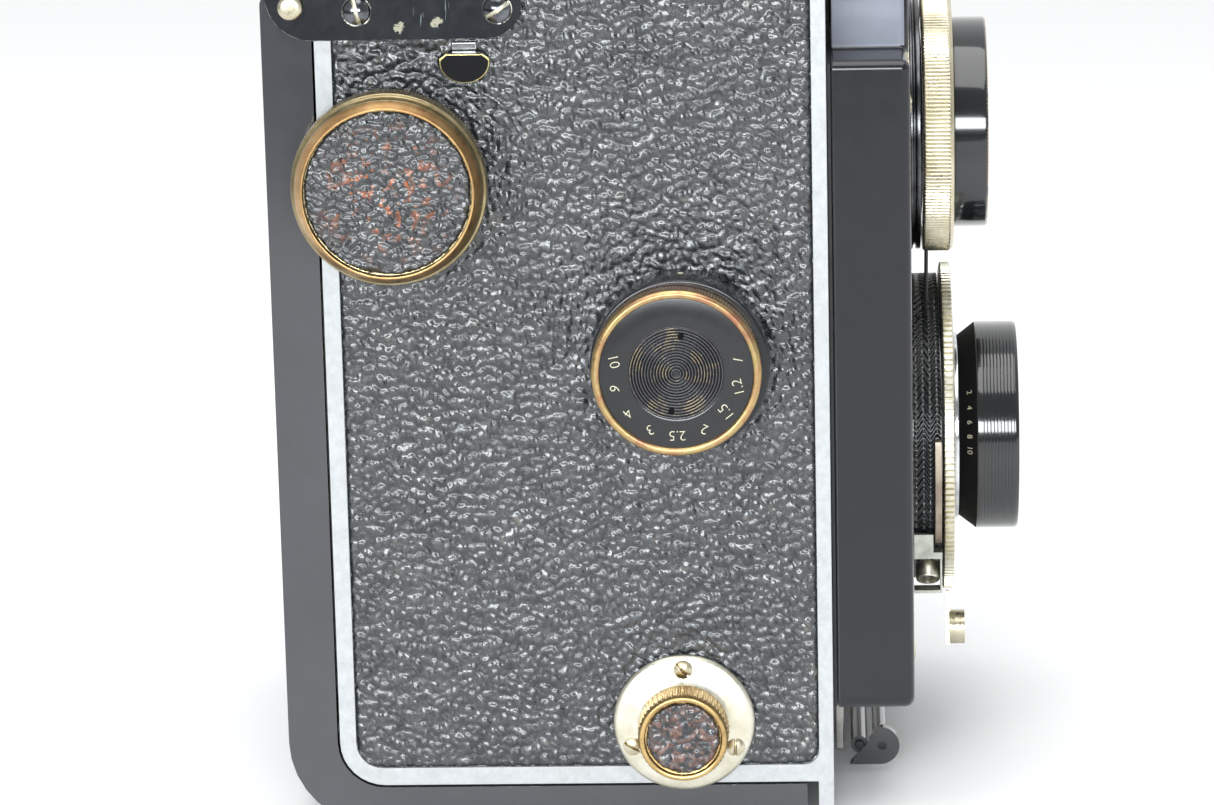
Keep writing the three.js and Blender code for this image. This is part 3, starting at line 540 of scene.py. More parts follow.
def bevelled(mesh, look, width, worn=None, segments=3, angle=32):
    """A mesh whose sharp edges are rounded, the rounded strips worn through to metal."""
    edit = bmesh.new()
    edit.from_mesh(mesh)
    bmesh.ops.remove_doubles(edit, verts=edit.verts, dist=1e-6)
    bmesh.ops.dissolve_limit(edit, angle_limit=math.radians(1), verts=edit.verts, edges=edit.edges)
    edit.to_mesh(mesh)
    edit.free()
    piece = linked("bevel_work", mesh)
    set_looks(mesh, look, worn or look)
    bevel = piece.modifiers.new("bevel", "BEVEL")
    bevel.width = width * MM
    bevel.segments = segments
    bevel.limit_method = "ANGLE"
    bevel.angle_limit = math.radians(angle)
    bevel.material = 1
    bevel.use_clamp_overlap = True
    bevel.miter_outer = "MITER_ARC"
    result = evaluated(piece)
    bpy.data.objects.remove(piece)
    return result


def refined(node, look, width=0.3, worn=None, segments=3, angle=32, smooth=30):
    """Stands for a CAD node with the same shape and softly rounded edges."""
    mesh = bevelled(frame["nodes"][node].data.copy(), look, width, worn, segments, angle)
    return add_piece(f"{node}_fine", mesh, None, body_of(node), node, smooth=smooth)


def block(name, lowest, highest, look, body, width=0.2, worn=None, turn=None):
    """A rounded block between two corners, turned about its middle by a matrix."""
    mesh = bpy.data.meshes.new(name)
    edit = bmesh.new()
    bmesh.ops.create_cube(edit, size=1)
    a, b = Vector(lowest) * MM, Vector(highest) * MM
    for vertex in edit.verts:
        vertex.co = Vector([(b[i] - a[i]) * vertex.co[i] for i in range(3)])
        vertex.co = (turn @ vertex.co if turn else vertex.co) + (a + b) / 2
    edit.to_mesh(mesh)
    edit.free()
    add_piece(name, bevelled(mesh, look, width, worn), None, body)


def outline_plate(name, outline, plane, start, end, look, body, node=None, width=0.2, worn=None):
    """A flat piece: outline points (a, b) in the plane, extruded between two levels of the third axis."""
    place = {
        "yz": lambda a, b, c: (c, a, b),
        "xz": lambda a, b, c: (a, c, b),
        "xy": lambda a, b, c: (a, b, c),
    }[plane]
    count = len(outline)
    points = [place(a, b, level) for level in (start, end) for a, b in outline]
    faces = [list(range(count)), list(range(2 * count - 1, count - 1, -1))]
    faces += [[i, (i + 1) % count, count + (i + 1) % count, count + i] for i in range(count)]
    mesh = bevelled(mesh_from(name, points, faces), look, width, worn)
    add_piece(name, mesh, None, body, node)


# ---- leather ----------------------------------------------------------------
def pebbles(a, b, seed, coarse=1.0):
    """The leather's grain at (a, b) in millimetres: height, and 0 in a crease to 1 on a pebble."""
    drift = noise.noise_vector(Vector((a * 0.6, b * 0.6, seed))) * 0.5
    place = Vector((a / coarse + drift.x, b * 0.84 / coarse + drift.y, seed))
    distances = noise.voronoi(place)[0]
    gap = distances[1] - distances[0]
    top = min(1.0, gap * 2.6)
    dome = top * (2 - top) - 0.55 * distances[0]
    fine = noise.noise(Vector((a * 2.2, b * 2.4, seed + 5)))
    swell = noise.noise(Vector((a * 0.2, b * 0.15, seed + 9)))
    return 0.3 * dome + 0.06 * fine + 0.05 * swell, min(1.0, 0.05 + gap * 5)


def rim_distance(a, b, low_corner, high_corner, radius):
    """How far (a, b) lies inside a rectangle with rounded corners."""
    inside_a = min(a - low_corner[0], high_corner[0] - a)
    inside_b = min(b - low_corner[1], high_corner[1] - b)
    if inside_a < radius and inside_b < radius:
        return radius - math.hypot(radius - inside_a, radius - inside_b)
    return min(inside_a, inside_b)


class Sheet:
    """A square grid of points with the grain mask that the leather's material reads as painted shade in the
    creases and at turned-down rims.
    """

    def __init__(self):
        self.points, self.grain, self.index = [], [], {}

    def add(self, column, row, point, grain):
        self.index[(column, row)] = len(self.points)
        self.points.append(point)
        self.grain.append(grain)

    def mesh(self, name):
        faces = []
        for (i, j), first in self.index.items():
            corners = [first] + [self.index.get(k) for k in ((i + 1, j), (i + 1, j + 1), (i, j + 1))]
            if None not in corners:
                faces.append(corners)
        mesh = mesh_from(name, self.points, faces)
        mesh.attributes.new("grain", "FLOAT", "POINT").data.foreach_set("value", self.grain)
        return mesh


def leather_panel(name, node, plane, rise, step=0.34, edge=0.7, margin=0.35, seed=0.0, extra=None,
                  inside=None, corner=2.5):
    """A grained sheet over the node's outline; its edge turns down into the metal around it."""
    lowest, highest = low(node), high(node)
    first, second, third = {"yz": (1, 2, 0), "xz": (0, 2, 1), "xy": (0, 1, 2)}[plane]
    face = lowest[third] if rise < 0 else highest[third]
    sign = math.copysign(1, rise)
    start = (lowest[first] - margin, lowest[second] - margin)
    end = (highest[first] + margin, highest[second] + margin)
    columns, rows = int((end[0] - start[0]) / step), int((end[1] - start[1]) / step)
    sheet = Sheet()
    for i in range(columns + 1):
        for j in range(rows + 1):
            a = start[0] + (end[0] - start[0]) * i / columns
            b = start[1] + (end[1] - start[1]) * j / rows
            if inside and not inside(a, b):
                continue
            rim = rim_distance(a, b, start, end, corner)
            if rim < -0.3:
                continue
            roll = 0.55 * min(1.5, max(0.0, 1 - rim / edge)) ** 2
            lift, top = pebbles(a, b, seed)
            height = -0.3 + lift - roll + (extra(a, b) if extra else 0)
            point = [0.0, 0.0, 0.0]
            point[first], point[second], point[third] = a, b, face + sign * height
            # The grain mask fades to 0 towards the edge: painted shade where the sheet turns down into the
            # metal.
            sheet.add(i, j, point, top * max(0.0, min(1.0, 1.6 * rim / edge)))
    mesh = sheet.mesh(name)
    if (mesh.polygons[0].normal[third] > 0) != (sign > 0):
        mesh.flip_normals()
    add_piece(name, mesh, LEATHER, body_of(node), node, smooth=89)


def knob_wrinkles(y, z):
    """Ridges where the leather is bunched around the focus knob, the wind knob and the tab."""
    height = 0.0
    for centre, reach, depth in ((FOCUS, 14.5, 0.3), (WIND, 15.5, 0.34)):
        away = math.hypot(y - centre.y, z - centre.z)
        band = math.exp(-((away - reach) / 2.8) ** 2)
        turn = math.atan2(z - centre.z, y - centre.y)
        place = Vector((5.5 * math.cos(turn), 5.5 * math.sin(turn), away * 0.95))
        height += depth * band * (0.25 - abs(noise.noise(place)))
    top = math.exp(-((z - 103) / 5) ** 2)
    return height + 0.22 * top * noise.noise(Vector((y * 0.5, z * 1.5, 4)))


def leather_disc(name, centre, radius, out, look, body, seed, shape=(1.0, 1.0)):
    """A grained round inlay in a knob's outer face; its rim turns down inside the knob."""
    step = 0.2
    count = math.ceil(radius / step)
    sheet = Sheet()
    for i in range(-count, count + 1):
        for j in range(-count, count + 1):
            y, z = i * step, j * step
            away = math.hypot(y, z)
            if away > radius - 0.02:
                continue
            lift, top = pebbles(y * shape[0] + seed, z * shape[1], seed)
            rolled = 0.5 * max(0.0, 1 - (radius - away) / 0.5) ** 2
            point = (-(out + 0.9 * lift - rolled), centre.y + y, centre.z + z)
            # The grain mask fades towards the rim: painted shade where the inlay turns down inside the knob.
            sheet.add(i, j, point, top * min(1.0, 0.1 + (radius - away) / 0.6))
    mesh = sheet.mesh(name)
    if mesh.polygons[0].normal.x > 0:
        mesh.flip_normals()
    add_piece(name, mesh, look, body, smooth=89)


# ---- screws and small marks ---------------------------------------------------
def round_head(name, axis, centre, radius, steps, rings, level):
    """A round head; level(r, angle, last) is its place along the axis, with last true on the rim."""
    points, faces = [], []
    for i in range(rings + 1):
        r = max(radius * i / rings, 1e-4)
        for k in range(steps):
            angle = TURN * k / steps
            points.append(around(axis, centre, r, angle, level(r, angle, i == rings)))
    for i in range(rings):
        for k in range(steps):
            n = (k + 1) % steps
            faces.append([i * steps + k, i * steps + n, (i + 1) * steps + n, (i + 1) * steps + k])
    return mesh_from(name, points, faces)


def slotted_screw(name, centre, radius, along, height, lean, looks, node):
    """A domed screw head with a cut slot on the -X side; looks are those of the dome and of the slot."""
    width = radius * 0.15
    steps, rings = 96, 18
    turn = math.radians(90 + lean)

    def level(r, angle, last):
        dome = height * (1 - 0.6 * (r / radius) ** 2)
        across = abs(r * math.sin(angle - turn))
        cut = height * 0.45 * min(1.0, max(0.0, (width - across) / (width * 0.3)))
        return along + max(dome - cut - (height if last else 0.0), 0.0)

    mesh = round_head(name, "out", centre, radius, steps, rings, level)
    set_looks(mesh, *looks)
    for polygon in mesh.polygons:
        ring, k = divmod(polygon.index, steps)
        across = abs(radius * (ring + 0.5) / rings * math.sin(TURN * (k + 0.5) / steps - turn))
        polygon.material_index = 1 if across < width else 0
    add_piece(name, mesh, None, "body", node, smooth=35)


def dial_text(name, words, size, matrix, look, body, depth=0.02):
    """Generic numerals as thin raised mesh letters."""
    curve = bpy.data.curves.new(name, "FONT")
    curve.body = words
    curve.size = size * MM
    curve.extrude = depth * MM
    curve.offset = -0.014 * size * MM
    curve.align_x = "CENTER"
    curve.align_y = "CENTER"
    source = linked(name + "_curve", curve)
    graph = bpy.context.evaluated_depsgraph_get()
    mesh = bpy.data.meshes.new_from_object(source.evaluated_get(graph))
    bpy.data.objects.remove(source)
    mesh.transform(matrix)
    add_piece(name, mesh, look, body)


def facing_out(centre, radius, angle, along, spin):
    """Places a flat word on a -X facing dial at that radius and angle, its top turned by spin."""
    spot = Vector(around("out", centre, radius, angle, along)) * MM
    upright = Matrix(((0, 0, -1), (-1, 0, 0), (0, 1, 0))).to_4x4()
    return Matrix.Translation(spot) @ upright @ Matrix.Rotation(spin, 4, "Z")


# ---- body -----------------------------------------------------------------------
def build_body():
    refined("body_shell", ALUMINIUM, 0.22)
    leather_panel("leather_right_grain", "leather_right", "yz", -1, 0.26, seed=1.0, extra=knob_wrinkles)
    leather_panel("leather_left_grain", "leather_left", "yz", 1, seed=21.0)
    set_looks(frame["nodes"]["mirror"].data, MIRROR)
    for name, centre in (("supply_spool", SUPPLY), ("takeup_spool", WIND)):
        spool(name, centre)
    for name in ("film_roller_lower", "film_roller_upper"):
        half = high(name).x
        radius = radius_of(name)
        profile = [(0, -half), (1.0, -half), (radius, 1.5 - half), (radius * 0.86, 4 - half),
                   (radius * 0.86, half - 4), (radius, half - 1.5), (1.0, half), (0, half)]
        turned(f"{name}_fine", "out", middle(name), profile, NICKEL, body_of(name), name, 48)


def spool(node, centre):
    half = high(node).x
    radius = radius_of(node)
    bore, core, disc = 2.7, 5.4, 0.9
    profile = looped((bore, -half), (radius, -half), (radius, disc - half), (core, disc - half),
                     (core, half - disc), (radius, half - disc), (radius, half), (bore, half))
    turned(f"{node}_fine", "out", centre, profile, LACQUER, body_of(node), node, 72)


# ---- hinge plates -----------------------------------------------------------------
def build_hinge_plates():
    for node in ("hinge_plate_right", "hinge_plate_left"):
        refined(node, CHIPPED, 0.25, EDGE_SILVER)
    rivet = middle("hinge_rivet_right")
    out = -low("hinge_rivet_right").x
    root, shank, head = -high("hinge_rivet_right").x, 1.4, 1.65
    profile = [(0, root), (shank, root), (shank, out - 0.9), (head, out - 0.9), (head, out - 0.35),
               (1.2, out), (0, out)]
    turned("hinge_rivet_head", "out", rivet, profile, NICKEL, "body", "hinge_rivet_right", 64, round_off=0.3)
    for i, lean in enumerate((57, -13)):
        node = f"plate_screw_{i}"
        base = -high(node).x - 0.3
        slotted_screw(f"{node}_head", middle(node), 1.72, base, 1.15, lean, (DARK_CHROME, CREAM_NICKEL),
                      node)
        washer = looped((1.75, base - 0.1), (2.0, base - 0.1), (1.95, base + 0.12), (1.78, base + 0.12))
        turned(f"{node}_seat", "out", middle(node), washer, EDGE_SILVER, "body", steps=64, round_off=0.03)
    build_counter()
    build_release_tab()


def build_counter():
    set_looks(frame["nodes"]["counter_dial"].data, ENAMEL)
    dial = middle("counter_dial")
    plate_out = -low("hinge_plate_right").x
    for i in range(12):
        angle = TURN * i / 12
        matrix = facing_out(dial, 1.45, angle, -low("counter_dial").x + 0.02, angle - math.pi / 2)
        dial_text(f"counter_number_{i + 1}", str(i + 1), 0.7, matrix, MATT_BLACK, "counter")
    window = [(0, plate_out - 0.45), (1.85, plate_out - 0.45), (1.85, plate_out - 0.15),
              (1.1, plate_out - 0.03), (0, plate_out)]
    turned("counter_window", "out", dial, window, GLASS, "body", steps=48)


def build_release_tab():
    lowest, highest = low("release_tab"), high("release_tab")
    y, half = (lowest.y + highest.y) / 2, (highest.y - lowest.y) / 2
    shoulder = highest.z - 1.5
    rise = 2.7
    outline = [(y + half * math.cos(t), lowest.z + rise + rise * math.sin(t))
               for t in [math.pi * (1 + i / 20) for i in range(21)]]
    outline += [(y + half, shoulder - 0.6), (y + half - 0.8, shoulder), (y - half + 0.8, shoulder),
                (y - half, shoulder - 0.6)]
    outline_plate("release_tab_flap", outline, "yz", lowest.x, lowest.x + 0.95, GLOSS_BLACK,
                  "release_tab", "release_tab", 0.12, EDGE_YELLOW)
    for side in (-1, 1):
        ear = [(y + side * half, shoulder - 1.1), (y + side * half, shoulder - 0.6),
               (y + side * (half - 0.8), shoulder), (y + side * (half - 1.3), shoulder - 0.02),
               (y + side * (half - 0.85), shoulder - 0.25), (y + side * (half - 0.3), shoulder - 0.7)]
        outline_plate(f"release_tab_wear_{side + 1}", ear, "yz", lowest.x - 0.02, lowest.x + 0.5,
                      EDGE_YELLOW, "release_tab", width=0.05)
    for i, (start, end) in enumerate(((-0.5, 0.35), (0.55, 1.5))):
        block(f"release_tab_band_{i}", (lowest.x + 0.1 + 0.15 * i, y - 1.6, shoulder + start),
              (highest.x, y + 1.6, shoulder + end), CHROME, "release_tab", 0.15)
    block("release_tab_strip", (lowest.x + 0.45, y - 1.55, shoulder), (highest.x, y + 1.55, highest.z),
          MATT_BLACK, "release_tab", 0.1)


# ---- knobs --------------------------------------------------------------------------
def build_wind_knob():
    radius = radius_of("wind_knob")
    face, foot, inlay = WIND_FACE, 41.5, 10.8
    root = -high("wind_knob").x
    rim = [(0, root), (2, root), (2, root + 2.6), (3, root + 2.8), (3, foot), (radius - 0.4, foot, 0),
           (radius - 0.02, foot + 0.3, 1), (radius - 0.02, foot + 3.0, 1), (radius - 0.06, foot + 3.05, 0),
           (radius - 0.12, foot + 3.3, 0), (radius - 0.5, foot + 3.45, 0), (radius - 0.62, foot + 4.5, 0),
           (radius - 0.75, foot + 4.75, 0), (inlay + 0.42, face - 0.3, 0), (inlay + 0.3, face - 0.02, 0),
           (inlay + 0.05, face - 0.02, 0), (inlay, face - 0.6, 0), (inlay, face - 1.0, 0),
           (0, face - 1.0, 0)]
    turned("wind_knob_rim", "out", WIND, rim, BRASS_OLIVE, "wind_knob", "wind_knob", 720,
           straight_knurl(180, 0.16), 0.12)
    cone = looped((radius - 0.72, foot + 4.72), (inlay + 0.5, face - 0.4), (inlay + 0.3, face),
                  (inlay + 0.04, face - 0.01), (inlay + 0.04, face - 0.5), (radius - 1.1, foot + 4.72))
    turned("wind_knob_cone", "out", WIND, cone, BRASS_ORANGE, "wind_knob", steps=180, round_off=0.06)
    leather_disc("wind_knob_inlay", WIND, inlay, face - 0.72, WIND_LEATHER, "wind_knob", 3.0, (0.75, 1.25))
    turned("wind_bush_fine", "out", WIND, tube(6, 3.4, *out_ends("wind_bush")), NICKEL, "wind_drive",
           "wind_bush", 96)


def build_focus_knob():
    radius = radius_of("focus_knob")
    face, foot, root, bore = FOCUS_FACE, 44.4, -high("focus_knob").x, 2.2
    side = looped((bore, root), (bore, foot), (radius - 0.3, foot), (radius - 0.02, foot + 0.3, 1),
                  (radius - 0.02, face - 0.8, 1), (radius - 0.05, face - 0.75, 0),
                  (radius - 0.12, face - 0.35, 0), (radius - 0.5, face - 0.02, 0),
                  (radius - 0.95, face - 0.05, 0), (radius - 1.15, face - 0.25, 0),
                  (radius - 1.2, face - 1.0, 0), (bore, face - 1.0, 0))
    turned("focus_knob_side", "out", FOCUS, side, BRASS_RED, "focus_knob", "focus_knob", 640,
           straight_knurl(160, 0.14), 0.1)
    level = face - 0.42
    disc = [(0, level - 0.05)]
    grooves, inner, outer = 15, 0.4, 6.15
    pitch = (outer - inner) / grooves
    for i in range(grooves):
        r = inner + pitch * i
        disc += [(r, level - 0.06), (r + 0.25 * pitch, level + 0.1), (r + 0.7 * pitch, level + 0.1),
                 (r + 0.95 * pitch, level - 0.06)]
    disc += [(outer + 0.15, level), (radius - 1.15, level), (radius - 1.15, face - 0.95)]
    turned("focus_knob_disc", "out", FOCUS, disc, KNOB_BLACK, "focus_knob", steps=144, round_off=0.04,
           smooth=50)
    for i in range(grooves):
        r = inner + pitch * (i + 0.48)
        crest = looped((r - 0.07, level + 0.06), (r - 0.05, level + 0.112), (r + 0.05, level + 0.112),
                       (r + 0.07, level + 0.06))
        turned(f"focus_knob_ridge_{i}", "out", FOCUS, crest, RIDGE_WEAR, "focus_knob", steps=120,
               round_off=0.01)
    # Each hole is a near-black cap over the disc: painted shade standing in for the hole's depth.
    for i, angle in enumerate((98, 278)):
        spot = Vector(around("out", FOCUS, 5.0, math.radians(angle), 0))
        turned(f"focus_knob_hole_shade_{i}", "out", spot, [(0, level + 0.16), (0.4, level + 0.16),
               (0.44, level - 0.02)], CONE_BLACK, "focus_knob", steps=24, round_off=0.02)
    marks = ["1", "1.2", "1.5", "2", "2.5", "3", "4", "6", "10"]
    first_mark, sweep = 168, 204
    for i, words in enumerate(marks):
        angle = math.radians(first_mark + sweep * i / (len(marks) - 1))
        matrix = facing_out(FOCUS, 8.2, angle, level + 0.015, angle - math.pi / 2)
        dial_text(f"focus_number_{i}", words, 1.9, matrix, ENAMEL, "focus_knob")
    build_focus_base()


def build_focus_base():
    inner, outer = out_ends("focus_base_ring")
    centre, radius = middle("focus_base_ring"), radius_of("focus_base_ring")
    bore = 3
    profile = looped((bore, inner), (radius, inner), (radius, outer - 0.15), (radius - 0.2, outer),
                     (bore, outer))
    turned("focus_base_ring_fine", "out", centre, profile, FRONT_BLACK, "body", "focus_base_ring", 160,
           round_off=0.15)
    dot, dot_out, angle = 0.36, 40.2, math.radians(91)
    mesh = turned_mesh("focus_index_dot", "up", Vector((0, 0, 0)),
                       softened([(0, -0.2), (dot, -0.2), (dot, 0.0), (0, 0.015)], 0.02), 24)
    spot = around("out", centre, radius + 0.04, angle, dot_out)
    placed(mesh, Matrix.Rotation(angle - math.pi / 2, 4, "X"), spot)
    add_piece("focus_index_dot", mesh, ENAMEL, "body")


def build_supply_knob():
    radius = radius_of("supply_knob")
    face, foot, inlay = SUPPLY_FACE, -high("supply_knob").x, 4.95
    rim = looped((1.8, foot), (radius - 0.3, foot), (radius - 0.02, foot + 0.3, 1),
                 (radius - 0.1, face - 0.9, 1), (radius - 0.3, face - 0.6, 0),
                 (radius - 0.45, face - 0.1, 0), (radius - 0.7, face - 0.02, 0),
                 (inlay + 0.15, face - 0.1, 0), (inlay + 0.05, face - 0.7, 0), (0, face - 0.9),
                 (0, face - 1.2), (1.8, face - 1.2))
    turned("supply_knob_rim", "out", SUPPLY, rim, BRASS, "supply_knob", "supply_knob", 432,
           diamond_knurl(54, 0.26, 1.25), 0.1)
    leather_disc("supply_knob_inlay", SUPPLY, inlay, face - 0.4, SUPPLY_LEATHER, "supply_knob", 13.0,
                 (0.85, 0.95))
    inner, outer = out_ends("supply_plate")
    plate = looped((2.8, inner), (9.38, inner), (9.38, inner + 0.35), (9.0, inner + 0.75),
                   (8.2, inner + 0.9), (6.2, inner + 1.08), (5.4, inner + 1.5), (4.95, outer), (2.8, outer))
    turned("supply_plate_fine", "out", SUPPLY, plate, CREAM_NICKEL, "body", "supply_plate", 160)
    for i, lean in enumerate((-37, 3, -61)):
        node = f"supply_screw_{i}"
        slotted_screw(f"{node}_head", middle(node), 1.28, -high(node).x - 0.25, 0.7, lean,
                      (NICKEL, BRASS_OLIVE), node)


# ---- front standard and lenses ----------------------------------------------------------
def build_standard():
    standard = refined("front_standard", FRONT_BLACK, 0.3, EDGE_BLACK)
    neck_height = 11.65
    shoulder, front = high("front_standard").z - neck_height, low("front_standard").y
    standard.data.materials.append(NECK_REFLECTION_GREY)
    # The neck's side faces above the shoulder take the light grey: painted reflection on the black lacquer.
    for polygon in standard.data.polygons:
        if polygon.center.z > (shoulder + 0.3) * MM and abs(polygon.normal.x) > 0.8:
            polygon.material_index = 2
    half, top = high("front_standard").x, high("front_standard").z
    for i, (x, z) in enumerate(((-half + 6, 22), (half - 6, 22), (-half + 6, 96), (half - 6, 96))):
        slotted_front_screw(f"standard_screw_{i}", Vector((x, 0, z)), 1.6, front + 0.3, 0.6 + i)
    seal_low, seal_high = low("front_standard"), high("front_standard")
    block("front_seal", (seal_low.x + 0.6, BODY_LOW.y - 0.6, seal_low.z + 0.5),
          (seal_high.x - 0.6, BODY_LOW.y - 0.05, shoulder - 0.5), MATT_BLACK, "body", 0.1)
    plate = [(-13, top - 8.6), (13, top - 8.6), (13, top - 3.6), (-13, top - 3.6)]
    outline_plate("blank_name_plate", plate, "xz", front - 0.08, front + 0.3, NICKEL, "standard",
                  width=0.1)


def slotted_front_screw(name, spot, radius, front, turn):
    """A flatter screw head on the standard's front, its slot cut with steep sides."""
    height, slot_depth, slot_half = 0.6, 0.3, 0.28

    def level(r, angle, last):
        dome = height * (1 - 0.5 * (r / radius) ** 2)
        cut = slot_depth if abs(r * math.sin(angle - turn)) < slot_half else 0.0
        return front - max(dome - cut - (height if last else 0.0), -0.05)

    mesh = round_head(name, "front", spot, radius, 56, 10, level)
    add_piece(name, mesh, NICKEL, "standard", smooth=30)


def build_viewing_lens():
    bore, radius = 11.9, radius_of("viewing_flange")
    rear, front = ends("viewing_flange")
    flange = looped((bore, rear), (radius, rear), (radius, rear - 0.4), (radius - 0.6, rear - 0.5),
                    (radius - 0.6, rear - 0.75), (radius - 0.05, rear - 0.85), (radius - 0.05, front),
                    (bore, front))
    turned("viewing_flange_fine", "front", VIEW, flange, SPECKLED_BLACK, "standard", "viewing_flange", 160,
           round_off=0.1)
    bore, radius = 14.5, radius_of("viewing_ring")
    rear, front = ends("viewing_ring")
    ring = looped((bore, rear), (radius - 0.3, rear), (radius - 0.03, rear - 0.25, 1),
                  (radius - 0.03, front + 0.65, 1), (radius - 0.1, front + 0.5, 0),
                  (radius - 0.5, front + 0.02, 0), (bore, front + 0.02))
    turned("viewing_ring_fine", "front", VIEW, ring, NICKEL, "standard", "viewing_ring", 1400,
           straight_knurl(200, 0.22), 0.1)
    bore, radius = 11.6, radius_of("viewing_tube")
    rear, front = ends("viewing_tube")
    barrel = looped((bore, rear), (radius, rear), (radius, front + 0.95), (radius - 0.02, front + 0.25),
                    (radius - 0.3, front + 0.02), (radius - 1.3, front + 0.02), (radius - 2.0, front + 1.2),
                    (bore, front + 1.8))
    turned("viewing_tube_fine", "front", VIEW, barrel, BLACK_TUBE, "standard", "viewing_tube", 180,
           round_off=0.06)
    edge = looped((radius - 0.65, front + 0.04), (radius - 0.25, front + 0.01, 1), (radius, front + 0.3, 1),
                  (radius - 0.3, front + 0.4, 0))
    turned("viewing_tube_edge", "front", VIEW, edge, EDGE_BRASS, "standard", steps=640, round_off=0.02,
           relief=straight_knurl(160, 0.12))
    lens_glass("viewing_glass", VIEW, 2.2)


def lens_glass(node, centre, rise):
    """A lens whose front bulges by that rise over its rim."""
    radius = radius_of(node)
    rear, front = ends(node)
    rim = front + rise
    crown = [(radius * math.cos(math.pi / 20 * i), rim - rise * math.sin(math.pi / 20 * i))
             for i in range(1, 10)]
    profile = [(0, rear), (radius, rear), (radius, rim)] + crown + [(0, front)]
    turned(f"{node}_fine", "front", centre, profile, GLASS, "standard", node, 96, round_off=0.02)


def turned_lines(radius, start, end, pitch, depth):
    """A cylinder's profile with fine turned grooves."""
    count = int(abs(end - start) / pitch)
    step = (end - start) / count
    points = []
    for i in range(count):
        here = start + i * step
        points += [(radius, here), (radius, here + 0.75 * step), (radius - depth, here + 0.88 * step)]
    return points


def build_taking_lens():
    bore, radius, rows = 9.8, radius_of("shutter_case"), 44
    rear, front = ends("shutter_case")
    case = [(bore, rear, 0)]
    case += [(radius, rear + (front - rear) * i / rows, 1 if 1 < i < rows - 1 else 0)
             for i in range(rows + 1)]
    case += [(bore, front, 0), (bore, rear, 0)]
    mesh = turned_mesh("shutter_case_fine", "front", TAKE, case, 1180, wave_relief(rear, radius, 1.3, 0.28))
    add_piece("shutter_case_fine", mesh, CASE_BLACK, "standard", "shutter_case", smooth=60)
    rear, front = ends("speed_ring")
    inner, tip = 12.9, 22.46
    face, groove = front + 0.02, front + 0.15
    ring = looped((inner, rear), (tip - 0.56, rear), (tip, rear - 0.15, 1), (tip, groove, 1),
                  (tip - 0.66, face, 0), (20.4, face), (20.2, groove), (18.4, groove), (18.2, face),
                  (inner, face))
    turned("speed_ring_fine", "front", TAKE, ring, CREAM_NICKEL, "speed_ring", "speed_ring", 1120,
           square_teeth(160, 0.4), 0.05)
    rear, front = ends("taking_barrel")
    neck, hood = 12.4, 14.22
    cone_start, cone_end = rear - 2.4, rear - 4.75
    barrel = [(bore, rear), (neck, rear), (neck, cone_start), (hood - 0.02, cone_end),
              (hood, cone_end - 0.35)]
    barrel += turned_lines(hood, cone_end - 0.45, front + 0.55, 0.42, 0.03)
    barrel += [(hood, front + 0.5), (hood - 0.17, front + 0.03), (13.1, front + 0.01),
               (12.6, cone_end - 0.95), (12.0, cone_end - 0.55), (bore, cone_end - 0.55), (bore, rear)]
    piece = turned("taking_barrel_fine", "front", TAKE, barrel, BLACK_TUBE, "standard", "taking_barrel", 180,
                   round_off=0.08)
    piece.data.materials.append(CONE_BLACK)
    for polygon in piece.data.polygons:
        if cone_end + 0.05 < polygon.center.y / MM < cone_start + 0.4:
            polygon.material_index = 1
    collar = looped((12.42, -53.05), (12.8, -53.05), (12.8, -53.75), (12.42, -53.85))
    turned("taking_neck_ring", "front", TAKE, collar, CHROME, "standard", steps=128, round_off=0.1)
    lens_glass("taking_glass", TAKE, 1.8)
    barrel_numbers()
    build_shutter_levers()


def barrel_numbers():
    """Five small figures painted on the cone behind the taking hood."""
    slope = math.atan2(1.8, 2.35)
    for i, words in enumerate(("2", "4", "6", "8", "10")):
        rise = 7.5 - 1.87 * i
        radius = 13.35
        angle = math.pi - math.asin(rise / radius)
        outward = Vector((math.cos(angle), 0, math.sin(angle)))
        normal = outward * math.cos(slope) + Vector((0, math.sin(slope), 0))
        upward = outward * math.sin(slope) - Vector((0, math.cos(slope), 0))
        across = upward.cross(normal)
        spot = (outward * radius + Vector((0, -55.14, TAKE.z)) + normal * 0.02) * MM
        matrix = Matrix.Translation(spot) @ Matrix((across, upward, normal)).transposed().to_4x4()
        dial_text(f"barrel_number_{i}", words, 1.2, matrix, ENAMEL, "standard", depth=0.015)


